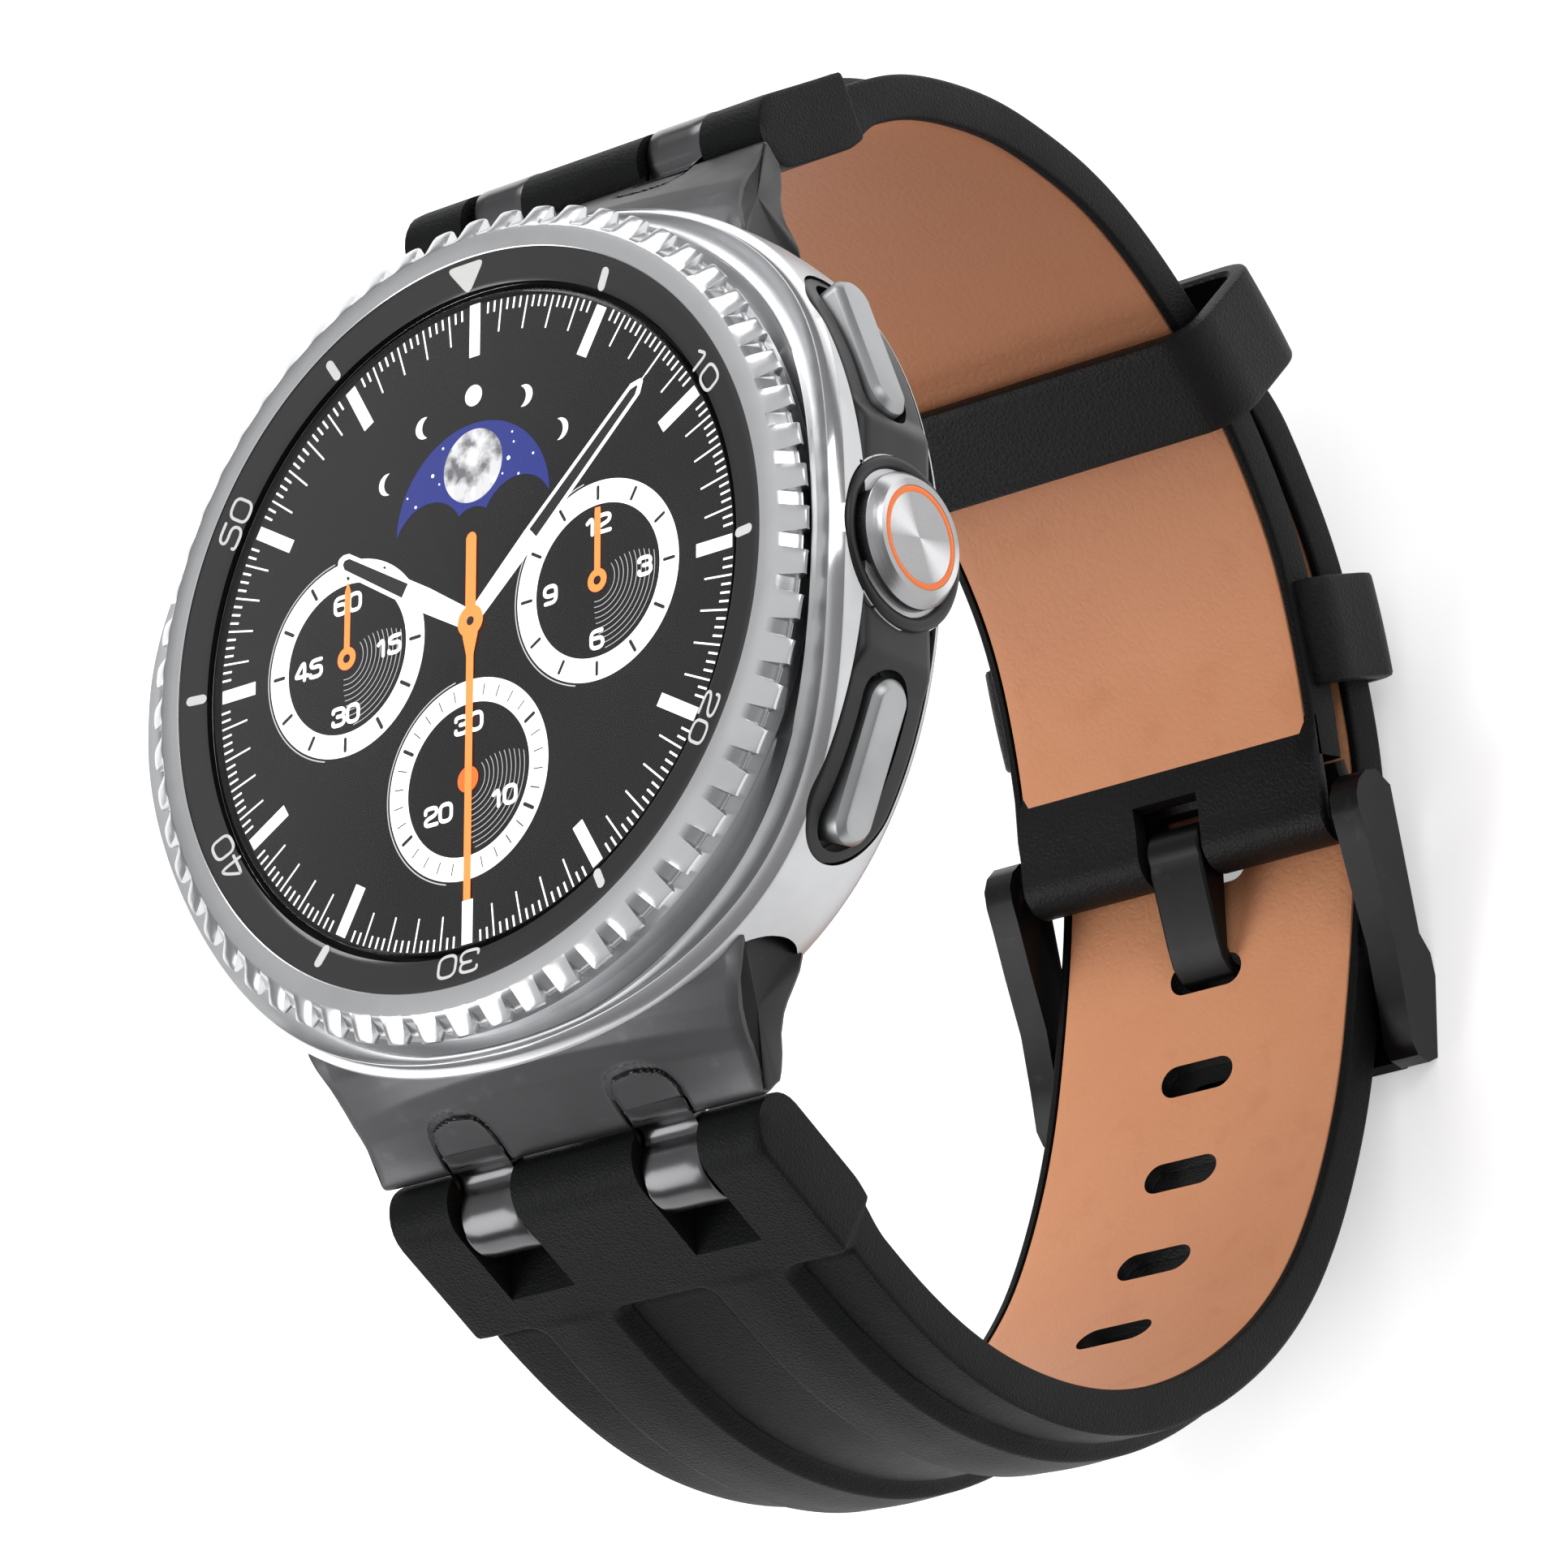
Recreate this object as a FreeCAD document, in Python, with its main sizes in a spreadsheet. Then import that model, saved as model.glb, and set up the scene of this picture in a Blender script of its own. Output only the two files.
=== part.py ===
"""Round smartwatch with a rotating bezel, side buttons and a buckled leather strap.

The watch is laid out in a dial frame: the origin is the centre of the display
face, +X points to 3 o'clock, +Y to 12 o'clock and +Z out of the dial.  Every
sub-part is then placed so that the underside of the buckle rests on z = 0.
"""
import FreeCAD, Part
import Sketcher
import math
import os

doc = FreeCAD.newDocument("Watch")
V = FreeCAD.Vector
X_AXIS, Y_AXIS, Z_AXIS = V(1, 0, 0), V(0, 1, 0), V(0, 0, 1)

# ---------------------------------------------------------------- dimensions
DIMENSIONS = [
    # alias, millimetres or degrees
    ("dialY", 6.6),              # dial axis in front of the buckle's rest face
    ("dialZ", 63.7),             # display face above the rest plane
    ("displayRadius", 16.9),
    ("coverRadius", 17.1),
    ("coverTop", 0.35),
    ("coverThick", 0.5),
    ("panelThick", 1.0),
    ("bezelBore", 17.45),
    ("insertOuter", 19.14),
    ("insertThick", 0.45),
    ("insertRise", 0.31),
    ("rimOuter", 19.9),
    ("rimTop", 0.68),
    ("bezelWall", 20.8),
    ("ribOuter", 21.7),
    ("ribOuterZ", -0.77),
    ("bezelBottom", -1.5),
    ("ribCount", 60),
    ("seatZ", -1.95),
    ("caseMean", 22.9),          # cushion outline: mean radius
    ("caseOval", 0.4),           # cushion outline: 3-9 wider than 6-12
    ("caseSquare", -0.4),        # cushion outline: fuller at the corners
    ("caseBottom", -9.6),
    ("caseCavity", 18.9),
    ("caseThroat", 18.0),
    ("backZ", -9.9),
    ("domeDrop", 1.3),
    ("buttonZ", -5.7),           # common axis height of the three buttons
    ("crownRadius", 3.08),
    ("crownFace", 23.7),
    ("stemRadius", 0.95),
    ("runningFit", 0.05),
    ("pusherLength", 8.8),
    ("pusherHeight", 2.9),
    ("pusherY", 9.9),
    ("pusherAngle", 20.0),
    ("pusherReach", 22.15),
    ("guardOuter", 1.2),
    ("guardRim", 4.1),
    ("strapWide", 11.95),        # half width at the lugs
    ("strapNarrow", 10.4),       # half width at the buckle
    ("strapThick", 2.4),
    ("liningThick", 0.8),
    ("endThick", 3.9),
    ("barY", 26.8),              # strap bar axis, mirrored at 6 o'clock
    ("barZ", -10.4),
    ("barRadius", 0.8),
    ("prongX", 6.0),
    ("prongWidth", 4.0),
    ("buckleY", 3.9),            # axis of the buckle's spring bar
    ("buckleZ", -58.7),
    ("armInner", 10.9),
    ("armOuter", 12.7),
    ("tongueWidth", 3.6),
    ("slotLength", 4.8),
    ("slotWidth", 1.9),
    ("slotPitch", 6.3),
    ("keeperLong", 5.8),
    ("leather", 1.2),
]

sheet = doc.addObject("Spreadsheet::Sheet", "Dimensions")
for row, (alias, number) in enumerate(DIMENSIONS, start=1):
    sheet.set("A%d" % row, alias)
    sheet.set("B%d" % row, str(number))
    sheet.setAlias("B%d" % row, alias)
doc.recompute()


def dim(alias):
    """Value of one driving dimension, read back from the spreadsheet."""
    return float(sheet.get(alias))


SHIFT = V(0, dim("dialY"), dim("dialZ"))
finished = []


# ------------------------------------------------------------------- helpers
def keep(item, label):
    """Name a finished sub-part and place it in the watch's own frame."""
    item.Label = label
    item.Placement.Base = item.Placement.Base + SHIFT
    item.setExpression("Placement.Base.z", "Dimensions.dialZ + %.6f"
                       % (item.Placement.Base.z - dim("dialZ")))
    finished.append(item)
    return item


def keep_shape(shape, label):
    """Keep a shape made with Part's own functions as a sub-part."""
    item = doc.addObject("Part::Feature", label)
    item.Shape = shape.removeSplitter()
    item.Label = label
    item.Placement = FreeCAD.Placement(SHIFT, FreeCAD.Rotation())
    finished.append(item)
    return item


def bound(item, **expressions):
    """Bind properties to spreadsheet expressions."""
    for name, text in expressions.items():
        item.setExpression(name.replace("__", "."), text)
    return item


def origin_plane(body, role):
    """The body's own origin plane with the given role."""
    for feature in body.Origin.OriginFeatures:
        if feature.Role == role:
            return feature
    raise RuntimeError(role)


def ring_body(label, outer, inner, low, high):
    """PartDesign disc or ring: concentric circles padded from low to high.

    outer, inner, low and high are spreadsheet expressions; inner may be None.
    """
    body = doc.addObject("PartDesign::Body", label)
    sketch = body.newObject("Sketcher::SketchObject", label + "_sketch")
    sketch.AttachmentSupport = [(origin_plane(body, "XY_Plane"), "")]
    sketch.MapMode = "FlatFace"
    sketch.setExpression("AttachmentOffset.Base.z", low)
    for expression in [outer] + ([inner] if inner else []):
        index = sketch.addGeometry(Part.Circle(V(0, 0, 0), Z_AXIS, 5.0), False)
        sketch.addConstraint(Sketcher.Constraint("Coincident", index, 3, -1, 1))
        number = sketch.addConstraint(Sketcher.Constraint("Radius", index, 5.0))
        sketch.setExpression("Constraints[%d]" % number, expression)
    pad = body.newObject("PartDesign::Pad", label + "_pad")
    pad.Profile = sketch
    pad.setExpression("Length", "(%s) - (%s)" % (high, low))
    body.Tip = pad
    doc.recompute()
    return body


def turned_body(label, profile):
    """PartDesign revolution of a closed (radius, height) profile about Z."""
    body = doc.addObject("PartDesign::Body", label)
    sketch = body.newObject("Sketcher::SketchObject", label + "_sketch")
    sketch.AttachmentSupport = [(origin_plane(body, "XZ_Plane"), "")]
    sketch.MapMode = "FlatFace"
    count = len(profile)
    for index in range(count):
        start, end = profile[index], profile[(index + 1) % count]
        sketch.addGeometry(Part.LineSegment(V(start[0], start[1], 0), V(end[0], end[1], 0)), False)
    for index in range(count):
        sketch.addConstraint(Sketcher.Constraint("Coincident", index, 2, (index + 1) % count, 1))
    revolution = body.newObject("PartDesign::Revolution", label + "_turn")
    revolution.Profile = sketch
    revolution.ReferenceAxis = (sketch, ["V_Axis"])
    revolution.Angle = 360.0
    body.Tip = revolution
    doc.recompute()
    return body


def box(x0, x1, y0, y1, z0, z1):
    """Box from its lowest and highest corners."""
    return Part.makeBox(x1 - x0, y1 - y0, z1 - z0, V(x0, y0, z0))


def rod(radius, start, end):
    """Cylinder between two points."""
    axis = end - start
    return Part.makeCylinder(radius, axis.Length, start, axis)


def turned(profile, axis_point=V(0, 0, 0), axis=Z_AXIS):
    """Solid of revolution of a polygon given in the plane through the axis."""
    wire = Part.makePolygon(profile + [profile[0]])
    return Part.Face(wire).revolve(axis_point, axis, 360.0)


def disc(radius, z0, z1):
    """Cylinder on the dial axis."""
    return Part.makeCylinder(radius, z1 - z0, V(0, 0, z0))


def side_slab(wire_points, x0, x1):
    """Polygon drawn in the YZ plane, extruded from x0 to x1."""
    points = [V(x0, y, z) for y, z in wire_points]
    face = Part.Face(Part.makePolygon(points + [points[0]]))
    return face.extrude(V(x1 - x0, 0, 0))


def stadium(length, width, thickness):
    """Round-ended bar: long axis Y, round in the YZ plane, from x = 0 to thickness."""
    half = (length - width) / 2.0
    radius = width / 2.0
    top = Part.LineSegment(V(0, -half, radius), V(0, half, radius)).toShape()
    right = Part.Arc(V(0, half, radius), V(0, half + radius, 0), V(0, half, -radius)).toShape()
    under = Part.LineSegment(V(0, half, -radius), V(0, -half, -radius)).toShape()
    left = Part.Arc(V(0, -half, -radius), V(0, -half - radius, 0), V(0, -half, radius)).toShape()
    face = Part.Face(Part.Wire([top, right, under, left]))
    return face.extrude(V(thickness, 0, 0))


def placed(shape, base, angle=0.0, axis=Z_AXIS):
    """Copy of a shape turned about an axis and moved to base."""
    copy = shape.copy()
    copy.Placement = FreeCAD.Placement(base, FreeCAD.Rotation(axis, angle)).multiply(copy.Placement)
    return copy


def union(shapes):
    """Fuse a list of shapes."""
    result = shapes[0]
    for shape in shapes[1:]:
        result = result.fuse(shape)
    return result


# ------------------------------------------------------- display and its seat
cover_low = "Dimensions.coverTop - Dimensions.coverThick"
keep(ring_body("display_cover", "Dimensions.coverRadius", None, cover_low, "Dimensions.coverTop"),
     "display_cover")
panel_low = cover_low + " - Dimensions.panelThick"
keep(ring_body("display_panel", "Dimensions.displayRadius", None, panel_low, cover_low),
     "display_panel")
keep(ring_body("display_gasket", "Dimensions.coverRadius", "Dimensions.coverRadius - 1.0",
               "-1.45", panel_low), "display_gasket")

display_frame = disc(17.1, -2.1, -1.45).fuse(disc(17.9, -2.6, -2.1)).cut(disc(15.6, -3.0, -1.9))
keep_shape(display_frame, "display_frame")

# --------------------------------------------------------------- rotating bezel
bore, wall, rib_outer = dim("bezelBore"), dim("bezelWall"), dim("ribOuter")
rim_top, bottom, rib_z = dim("rimTop"), dim("bezelBottom"), dim("ribOuterZ")
insert_outer, insert_thick = dim("insertOuter"), dim("insertThick")
inner_top = rim_top - dim("insertRise")
envelope = turned([V(bore, 0, bottom), V(rib_outer, 0, bottom), V(rib_outer, 0, rib_z),
                   V(dim("rimOuter"), 0, rim_top), V(insert_outer, 0, rim_top),
                   V(insert_outer, 0, rim_top - insert_thick),
                   V(bore, 0, inner_top - insert_thick)])
core_ring = turned([V(bore - 1, 0, bottom - 1), V(wall, 0, bottom - 1), V(wall, 0, 0.0),
                    V(20.15, 0, rim_top + 0.1), V(bore - 1, 0, rim_top + 0.1)])
ribs = []
rib_count = int(dim("ribCount"))
root_half, tip_half = math.radians(1.9), math.radians(1.05)
for number in range(rib_count):
    middle = 2.0 * math.pi * number / rib_count
    corners = []
    for radius, turn in ((19.6, -root_half), (rib_outer + 0.5, -tip_half),
                         (rib_outer + 0.5, tip_half), (19.6, root_half)):
        corners.append(V(radius * math.cos(middle + turn), radius * math.sin(middle + turn),
                         bottom))
    ribs.append(Part.Face(Part.makePolygon(corners + [corners[0]])).extrude(V(0, 0, 2.4)))
grip = core_ring.fuse(ribs)
keep_shape(grip.common(envelope), "bezel_ring")

keep(turned_body("bezel_insert", [
    (bore, inner_top - insert_thick), (insert_outer - 0.02, rim_top - insert_thick),
    (insert_outer - 0.02, rim_top - 0.02), (bore, inner_top)]), "bezel_insert")

seat = dim("seatZ")
keep(ring_body("bezel_click_ring", "20.4", "19.2", "Dimensions.seatZ", "Dimensions.seatZ + 0.15"),
     "bezel_click_ring")


# ------------------------------------------------------------------- mid-case
def case_outline(grow, z):
    """Cushion outline r = mean + oval cos 2a + square cos 4a, as a closed spline."""
    points = []
    for step in range(48):
        angle = 2.0 * math.pi * step / 48
        radius = (dim("caseMean") + grow + dim("caseOval") * math.cos(2 * angle)
                  + dim("caseSquare") * math.cos(4 * angle))
        points.append(V(radius * math.cos(angle), radius * math.sin(angle), z))
    curve = Part.BSplineCurve()
    curve.interpolate(Points=points, PeriodicFlag=True)
    return Part.Wire([curve.toShape()])


def saddle_cutter():
    """Everything above the saddle: high shoulders at 3 and 9, low at 12 and 6."""
    shoulder = [(-30, -3.0), (-22, -2.85), (-16, -2.65), (-11.5, -2.25), (-8, -1.35),
                (-4, -0.75), (0, -0.6), (4, -0.75), (8, -1.35), (11.5, -2.25), (16, -2.65),
                (22, -2.85), (30, -3.0)]
    curve = Part.BSplineCurve()
    curve.interpolate([V(-30, y, z) for y, z in shoulder])
    lid = [Part.LineSegment(V(-30, 30, -3.0), V(-30, 30, 8)).toShape(),
           Part.LineSegment(V(-30, 30, 8), V(-30, -30, 8)).toShape(),
           Part.LineSegment(V(-30, -30, 8), V(-30, -30, -3.0)).toShape()]
    face = Part.Face(Part.Wire([curve.toShape()] + lid))
    return face.extrude(V(60, 0, 0))


case_low = dim("caseBottom")
side_wall = Part.makeLoft([case_outline(-1.3, case_low), case_outline(-0.2, case_low + 1.4)], True)
upper_wall = Part.makeLoft([case_outline(-0.2, case_low + 1.4), case_outline(0.0, -4.0)], True)
crest = Part.Face(case_outline(0.0, -4.0)).extrude(V(0, 0, 5.0))
case_blank = side_wall.fuse(upper_wall).fuse(crest).cut(saddle_cutter())
chamfered = case_blank
edges = [edge for edge in case_blank.Edges
         if edge.BoundBox.ZMax > -3.2 and edge.BoundBox.ZMin > -3.3 and edge.Length > 20]
if edges:
    try:
        trial = case_blank.makeChamfer(0.55, edges)
        if trial.isValid() and 0 < trial.Volume < case_blank.Volume:
            chamfered = trial
    except Exception:
        chamfered = case_blank
button_z = dim("buttonZ")
throat, cavity = dim("caseThroat"), dim("caseCavity")
case_body = chamfered.cut(disc(22.0, seat, 4.0))
case_body = case_body.fuse(disc(20.6, -6.0, seat))
case_body = case_body.cut(disc(throat, -12.0, 3.0)).cut(disc(cavity, -12.0, -2.7))

# guard recess at 3 o'clock, button bores and seal seats
GUARD_HALF = 14.6
GUARD_TOP, GUARD_LOW = -2.75, -8.6
recess = box(0.0, 30.0, -GUARD_HALF, GUARD_HALF, GUARD_LOW, GUARD_TOP)
inner_core = Part.Face(case_outline(-1.3, GUARD_LOW - 0.1)).extrude(V(0, 0, 7.0))
case_body = case_body.cut(recess.cut(inner_core))


def pusher_frame(side):
    """Placement of a pusher: its outward axis is local X, its length local Y."""
    angle = side * dim("pusherAngle")
    middle = dim("pusherY") * side
    reach = dim("pusherReach")
    return V(reach * math.cos(math.radians(angle)) - 0.25,
             middle * 1.0, button_z), angle


bores = [rod(dim("stemRadius") + dim("runningFit"), V(12, 0, button_z), V(30, 0, button_z))]
for side in (1, -1):
    centre, angle = pusher_frame(side)
    along = V(math.cos(math.radians(angle)), math.sin(math.radians(angle)), 0)
    bores.append(rod(dim("stemRadius") + dim("runningFit"), centre - along * 9, centre + along * 4))
crown_well = rod(dim("crownRadius") + 0.35, V(20.3, 0, button_z), V(30, 0, button_z))
rim_well = rod(dim("guardRim") + 0.02, V(20.48, 0, button_z), V(30, 0, button_z))
case_body = case_body.cut(union(bores)).cut(crown_well).cut(rim_well)

# ------------------------------------------------------- black guard housing
guard_skin = Part.Face(case_outline(dim("guardOuter") - 0.5, GUARD_LOW + 0.1)).extrude(
    V(0, 0, GUARD_TOP - GUARD_LOW - 0.2))
guard_window = box(0.0, 30.0, -GUARD_HALF + 0.05, GUARD_HALF - 0.05, GUARD_LOW, GUARD_TOP)
core_gap = Part.Face(case_outline(-1.25, GUARD_LOW - 0.1)).extrude(V(0, 0, 7.0))
guard = guard_skin.common(guard_window).cut(core_gap)
bridge = side_slab([(-6.4, GUARD_LOW + 0.3), (6.4, GUARD_LOW + 0.3), (6.4, GUARD_TOP - 0.3),
                    (-6.4, GUARD_TOP - 0.3)], 20.0, 23.0)
bridge = bridge.makeChamfer(1.1, [edge for edge in bridge.Edges if edge.BoundBox.XMin > 22.9])
rim = rod(dim("guardRim"), V(20.5, 0, button_z), V(23.5, 0, button_z))
guard = guard.fuse(bridge).fuse(rim).cut(core_gap)
guard = guard.cut(crown_well)
guard = guard.cut(side_slab([(-2.6, button_z + 1.2), (2.6, button_z + 1.2), (3.9, -1.0),
                             (-3.9, -1.0)], 22.3, 26.0))
guard = guard.cut(union(bores))
for side in (1, -1):
    centre, angle = pusher_frame(side)
    pocket = stadium(dim("pusherLength") + 0.7, dim("pusherHeight") + 0.7, 6.0)
    pocket.translate(V(-1.35, 0, 0))
    guard = guard.cut(placed(pocket, centre, angle))
keep_shape(guard, "guard_housing")

# ------------------------------------------------------------------- buttons
crown_face = dim("crownFace")
crown = rod(dim("crownRadius"), V(21.35, 0, button_z), V(crown_face, 0, button_z))
crown = crown.makeChamfer(0.4, [edge for edge in crown.Edges if edge.BoundBox.XMin > 23.6])
crown = crown.cut(rod(2.62, V(crown_face - 0.25, 0, button_z), V(crown_face + 1, 0, button_z))
                  .cut(rod(2.3, V(crown_face - 1, 0, button_z), V(crown_face + 1, 0, button_z))))
crown = crown.fuse(rod(dim("stemRadius"), V(16.9, 0, button_z), V(21.4, 0, button_z)))
keep_shape(crown, "crown_button")
crown_ring = rod(2.6, V(crown_face - 0.25, 0, button_z), V(crown_face + 0.01, 0, button_z)).cut(
    rod(2.32, V(crown_face - 1, 0, button_z), V(crown_face + 1, 0, button_z)))
keep_shape(crown_ring, "crown_ring")

for side, label in ((1, "pusher_home"), (-1, "pusher_back")):
    centre, angle = pusher_frame(side)
    cap = stadium(dim("pusherLength"), dim("pusherHeight"), 2.2)
    cap = cap.makeChamfer(0.35, [edge for edge in cap.Edges if edge.BoundBox.XMin > 2.1])
    stem = Part.makeCylinder(dim("stemRadius"), 5.2, V(-5.1, 0, 0), X_AXIS)
    keep_shape(placed(cap.fuse(stem), centre, angle), label)

seal_set = []
switch_set = []
clip_set = []
directions = [(V(22.0, 0, button_z), 0.0)] + [pusher_frame(side) for side in (1, -1)]
for base, angle in directions:
    along = V(math.cos(math.radians(angle)), math.sin(math.radians(angle)), 0)
    inner = base - along * 5.1
    switch = placed(box(-1.9, -0.9, -1.6, 1.6, -1.1, 1.1).fuse(
        Part.makeCylinder(0.7, 0.35, V(-0.9, 0, 0), X_AXIS)), inner - along * 0.2, angle)
    switch_set.append(switch)
    clip = Part.makeCylinder(1.5, 0.3, V(0, 0, 0), X_AXIS).cut(
        Part.makeCylinder(0.95, 1.0, V(-0.3, 0, 0), X_AXIS))
    clip_set.append(placed(clip, inner + along * 0.25, angle))
keep_shape(Part.makeCompound(switch_set), "side_switches")
keep_shape(clip_set[0], "crown_clip")
keep_shape(clip_set[1], "home_clip")
keep_shape(clip_set[2], "back_clip")
side_flex = box(14.5, 14.72, -5.2, 5.2, button_z - 1.2, button_z + 1.2)
keep_shape(side_flex, "side_flex")

# ------------------------------------------------------------------ movement
keep_shape(disc(17.2, -3.4, -2.7).cut(box(9.0, 20.0, -4.0, 4.0, -4.0, 0.0)), "main_board")
cans = [box(-11.0, -2.0, 1.5, 10.5, -4.6, -3.4), box(-0.5, 8.0, -10.5, -2.5, -4.4, -3.4),
        box(0.5, 7.5, 3.0, 10.0, -4.4, -3.4)]
keep_shape(Part.makeCompound(cans), "shield_cans")
battery = doc.addObject("Part::Box", "battery")
battery.Length, battery.Width, battery.Height = 21.0, 16.5, 3.4
battery.Placement.Base = V(-12.5, -9.4, -8.2)
keep(battery, "battery")
screw_places = [(17.9 * math.cos(math.radians(a)), 17.9 * math.sin(math.radians(a)))
                for a in (45, 135, 225, 315)]
screw_holes = union([Part.makeCylinder(0.52, 3.0, V(sx, sy, -9.6)) for sx, sy in screw_places])
cradle = disc(18.6, -8.35, -5.0).cut(disc(17.2, -9.0, -4.0)).fuse(
    box(-13.6, 9.6, -10.5, 8.2, -8.35, -5.0).cut(box(-12.7, 8.7, -9.6, 7.3, -8.22, -4.0)))
cradle = cradle.cut(box(12.6, 20.0, -12.5, 12.5, -8.2, -2.0)).cut(screw_holes)
keep_shape(cradle, "inner_cradle")
motor = doc.addObject("Part::Cylinder", "vibration_motor")
motor.Radius, motor.Height = 3.9, 2.4
motor.Placement.Base = V(-5.2, 12.2, -7.7)
keep(motor, "vibration_motor")
speaker = doc.addObject("Part::Box", "speaker")
speaker.Length, speaker.Width, speaker.Height = 9.5, 5.0, 2.6
speaker.Placement.Base = V(-5.2, -16.0, -7.8)
keep(speaker, "speaker")

# ----------------------------------------------------------------- case back
gasket = disc(18.6, -8.93, -8.4).cut(disc(17.3, -9.0, -8.0)).cut(screw_holes)
keep_shape(gasket, "back_gasket")
back = disc(18.8, -9.7, -8.95).fuse(turned([V(0, 0, -10.2), V(16.5, 0, -10.2), V(18.8, 0, -9.7),
                                             V(0, 0, -9.7)]))
back = back.cut(disc(12.7, -12.0, -9.4)).cut(disc(4.2, -10.0, -8.0))
for sx, sy in screw_places:
    back = back.cut(Part.makeCylinder(0.85, 1.5, V(sx, sy, -10.5)).fuse(
        Part.makeCylinder(0.55, 3.0, V(sx, sy, -10.5))))
keep_shape(back, "case_back")
screws = []
for sx, sy in screw_places:
    head = Part.makeCylinder(0.8, 0.55, V(sx, sy, -9.8))
    head = head.cut(box(sx - 0.6, sx + 0.6, sy - 0.1, sy + 0.1, -9.9, -9.6))
    screws.append(head.fuse(Part.makeCylinder(0.5, 1.6, V(sx, sy, -9.3))))
keep_shape(Part.makeCompound(screws), "back_screws")
dome_radius = 46.0
dome = Part.makeSphere(dome_radius, V(0, 0, dome_radius - 11.4)).common(disc(12.6, -12.0, -10.25))
dome = dome.fuse(disc(12.6, -10.25, -9.95))
keep_shape(dome, "sensor_window")
keep_shape(disc(12.2, -9.9, -9.45), "sensor_board")
coil = disc(11.0, -8.93, -8.62).cut(disc(6.5, -9.0, -8.0))
keep_shape(coil, "charging_coil")
keep_shape(disc(11.8, -8.6, -8.4), "ferrite_sheet")


# --------------------------------------------------- end links and strap bars
def end_link():
    """Adapter between the case and the strap at 12 o'clock."""
    profile = [(20.0, -3.9), (21.2, -3.35), (22.6, -3.9), (24.2, -5.9), (25.6, -7.9),
               (25.0, -8.35), (24.5, -9.1), (24.35, -10.4), (24.6, -11.6), (23.4, -11.7),
               (21.5, -10.3), (20.75, -9.2)]
    body = side_slab(profile, -11.95, 11.95)
    cheeks = box(-13.5, 13.5, 18.0, 30.0, -12.0, -3.0)
    waist = Part.Face(Part.makePolygon([V(-13.2, 19.5, -13), V(-11.95, 23.2, -13),
                                        V(-11.8, 27.0, -13), V(11.8, 27.0, -13),
                                        V(11.95, 23.2, -13), V(13.2, 19.5, -13),
                                        V(-13.2, 19.5, -13)])).extrude(V(0, 0, 11))
    return body.common(cheeks).common(waist)


def prong(x_middle, grow=0.0):
    """Hook that runs from the end link over the strap bar."""
    half = dim("prongWidth") / 2.0 + grow
    bar_y, bar_z = dim("barY"), dim("barZ")
    outer = Part.makeCylinder(2.0 + grow, 2 * half, V(x_middle - half, bar_y, bar_z), X_AXIS)
    arm = side_slab([(23.6 - grow, -5.6 + grow), (25.0, -6.95 + grow),
                     (bar_y + 1.4, bar_z + 1.45 + grow), (bar_y, bar_z), (24.3, -9.3)],
                    x_middle - half, x_middle + half)
    return outer.fuse(arm)


def strap_bar():
    """Bar through the rolled strap end."""
    bar_y, bar_z = dim("barY"), dim("barZ")
    return rod(dim("barRadius"), V(-11.6, bar_y, bar_z), V(11.6, bar_y, bar_z))


link = end_link()
case_body = case_body.cut(link).cut(link.mirror(V(0, 0, 0), Y_AXIS))
keep_shape(case_body, "case_body")
bar_hole = Part.makeCylinder(dim("barRadius"), 40.0, V(-20, dim("barY"), dim("barZ")), X_AXIS)
prongs = [prong(dim("prongX")).cut(bar_hole), prong(-dim("prongX")).cut(bar_hole)]
link = link.cut(prong(dim("prongX"), 0.02)).cut(prong(-dim("prongX"), 0.02))
link = link.cut(box(-2.8, 2.8, 21.6, 23.9, -12.5, -9.6))
release = box(-2.5, 2.5, 21.9, 23.6, -11.75, -10.5)


def mirrored(shape):
    """Mirror image at 6 o'clock."""
    return shape.mirror(V(0, 0, 0), Y_AXIS)


bar = strap_bar()
for label, change in (("upper", lambda shape: shape), ("lower", mirrored)):
    keep_shape(change(link), "end_link_" + label)
    keep_shape(Part.makeCompound([change(piece) for piece in prongs]), "strap_hooks_" + label)
    keep_shape(change(bar), "strap_bar_" + label)
    keep_shape(change(release), "release_button_" + label)


# ---------------------------------------------------------------------- strap
SHORT_LINE = [(27.6, -11.9), (29.5, -15.2), (32.0, -19.8), (33.35, -24.8), (33.75, -28.9),
              (33.5, -32.6), (32.8, -36.5), (31.5, -40.0), (29.7, -43.3), (27.3, -46.7),
              (24.8, -49.5), (21.6, -52.3), (17.9, -54.7), (14.2, -56.2), (10.2, -57.3),
              (6.9, -57.95)]
LONG_LINE = [(-27.6, -11.9), (-29.5, -15.2), (-32.0, -19.8), (-34.1, -25.4), (-34.85, -31.1),
             (-34.3, -37.4), (-32.5, -42.8), (-29.8, -47.6), (-26.3, -51.9), (-22.0, -55.4),
             (-16.6, -58.1), (-10.9, -59.95), (-5.0, -61.05), (0.0, -61.7), (3.9, -61.95),
             (8.0, -61.65), (12.4, -60.55), (17.9, -58.4), (22.9, -55.15), (26.7, -51.6),
             (29.2, -48.7), (30.3, -47.3)]


def centre_curve(points):
    """Smooth curve in the YZ plane through the strap's centre-line stations."""
    curve = Part.BSplineCurve()
    curve.interpolate([V(0, y, z) for y, z in points])
    return curve


def outward(curve, parameter, side):
    """Unit normal of the centre line, pointing away from the wrist."""
    tangent = curve.tangent(parameter)[0]
    return V(0, tangent.z, -tangent.y) * side


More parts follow.
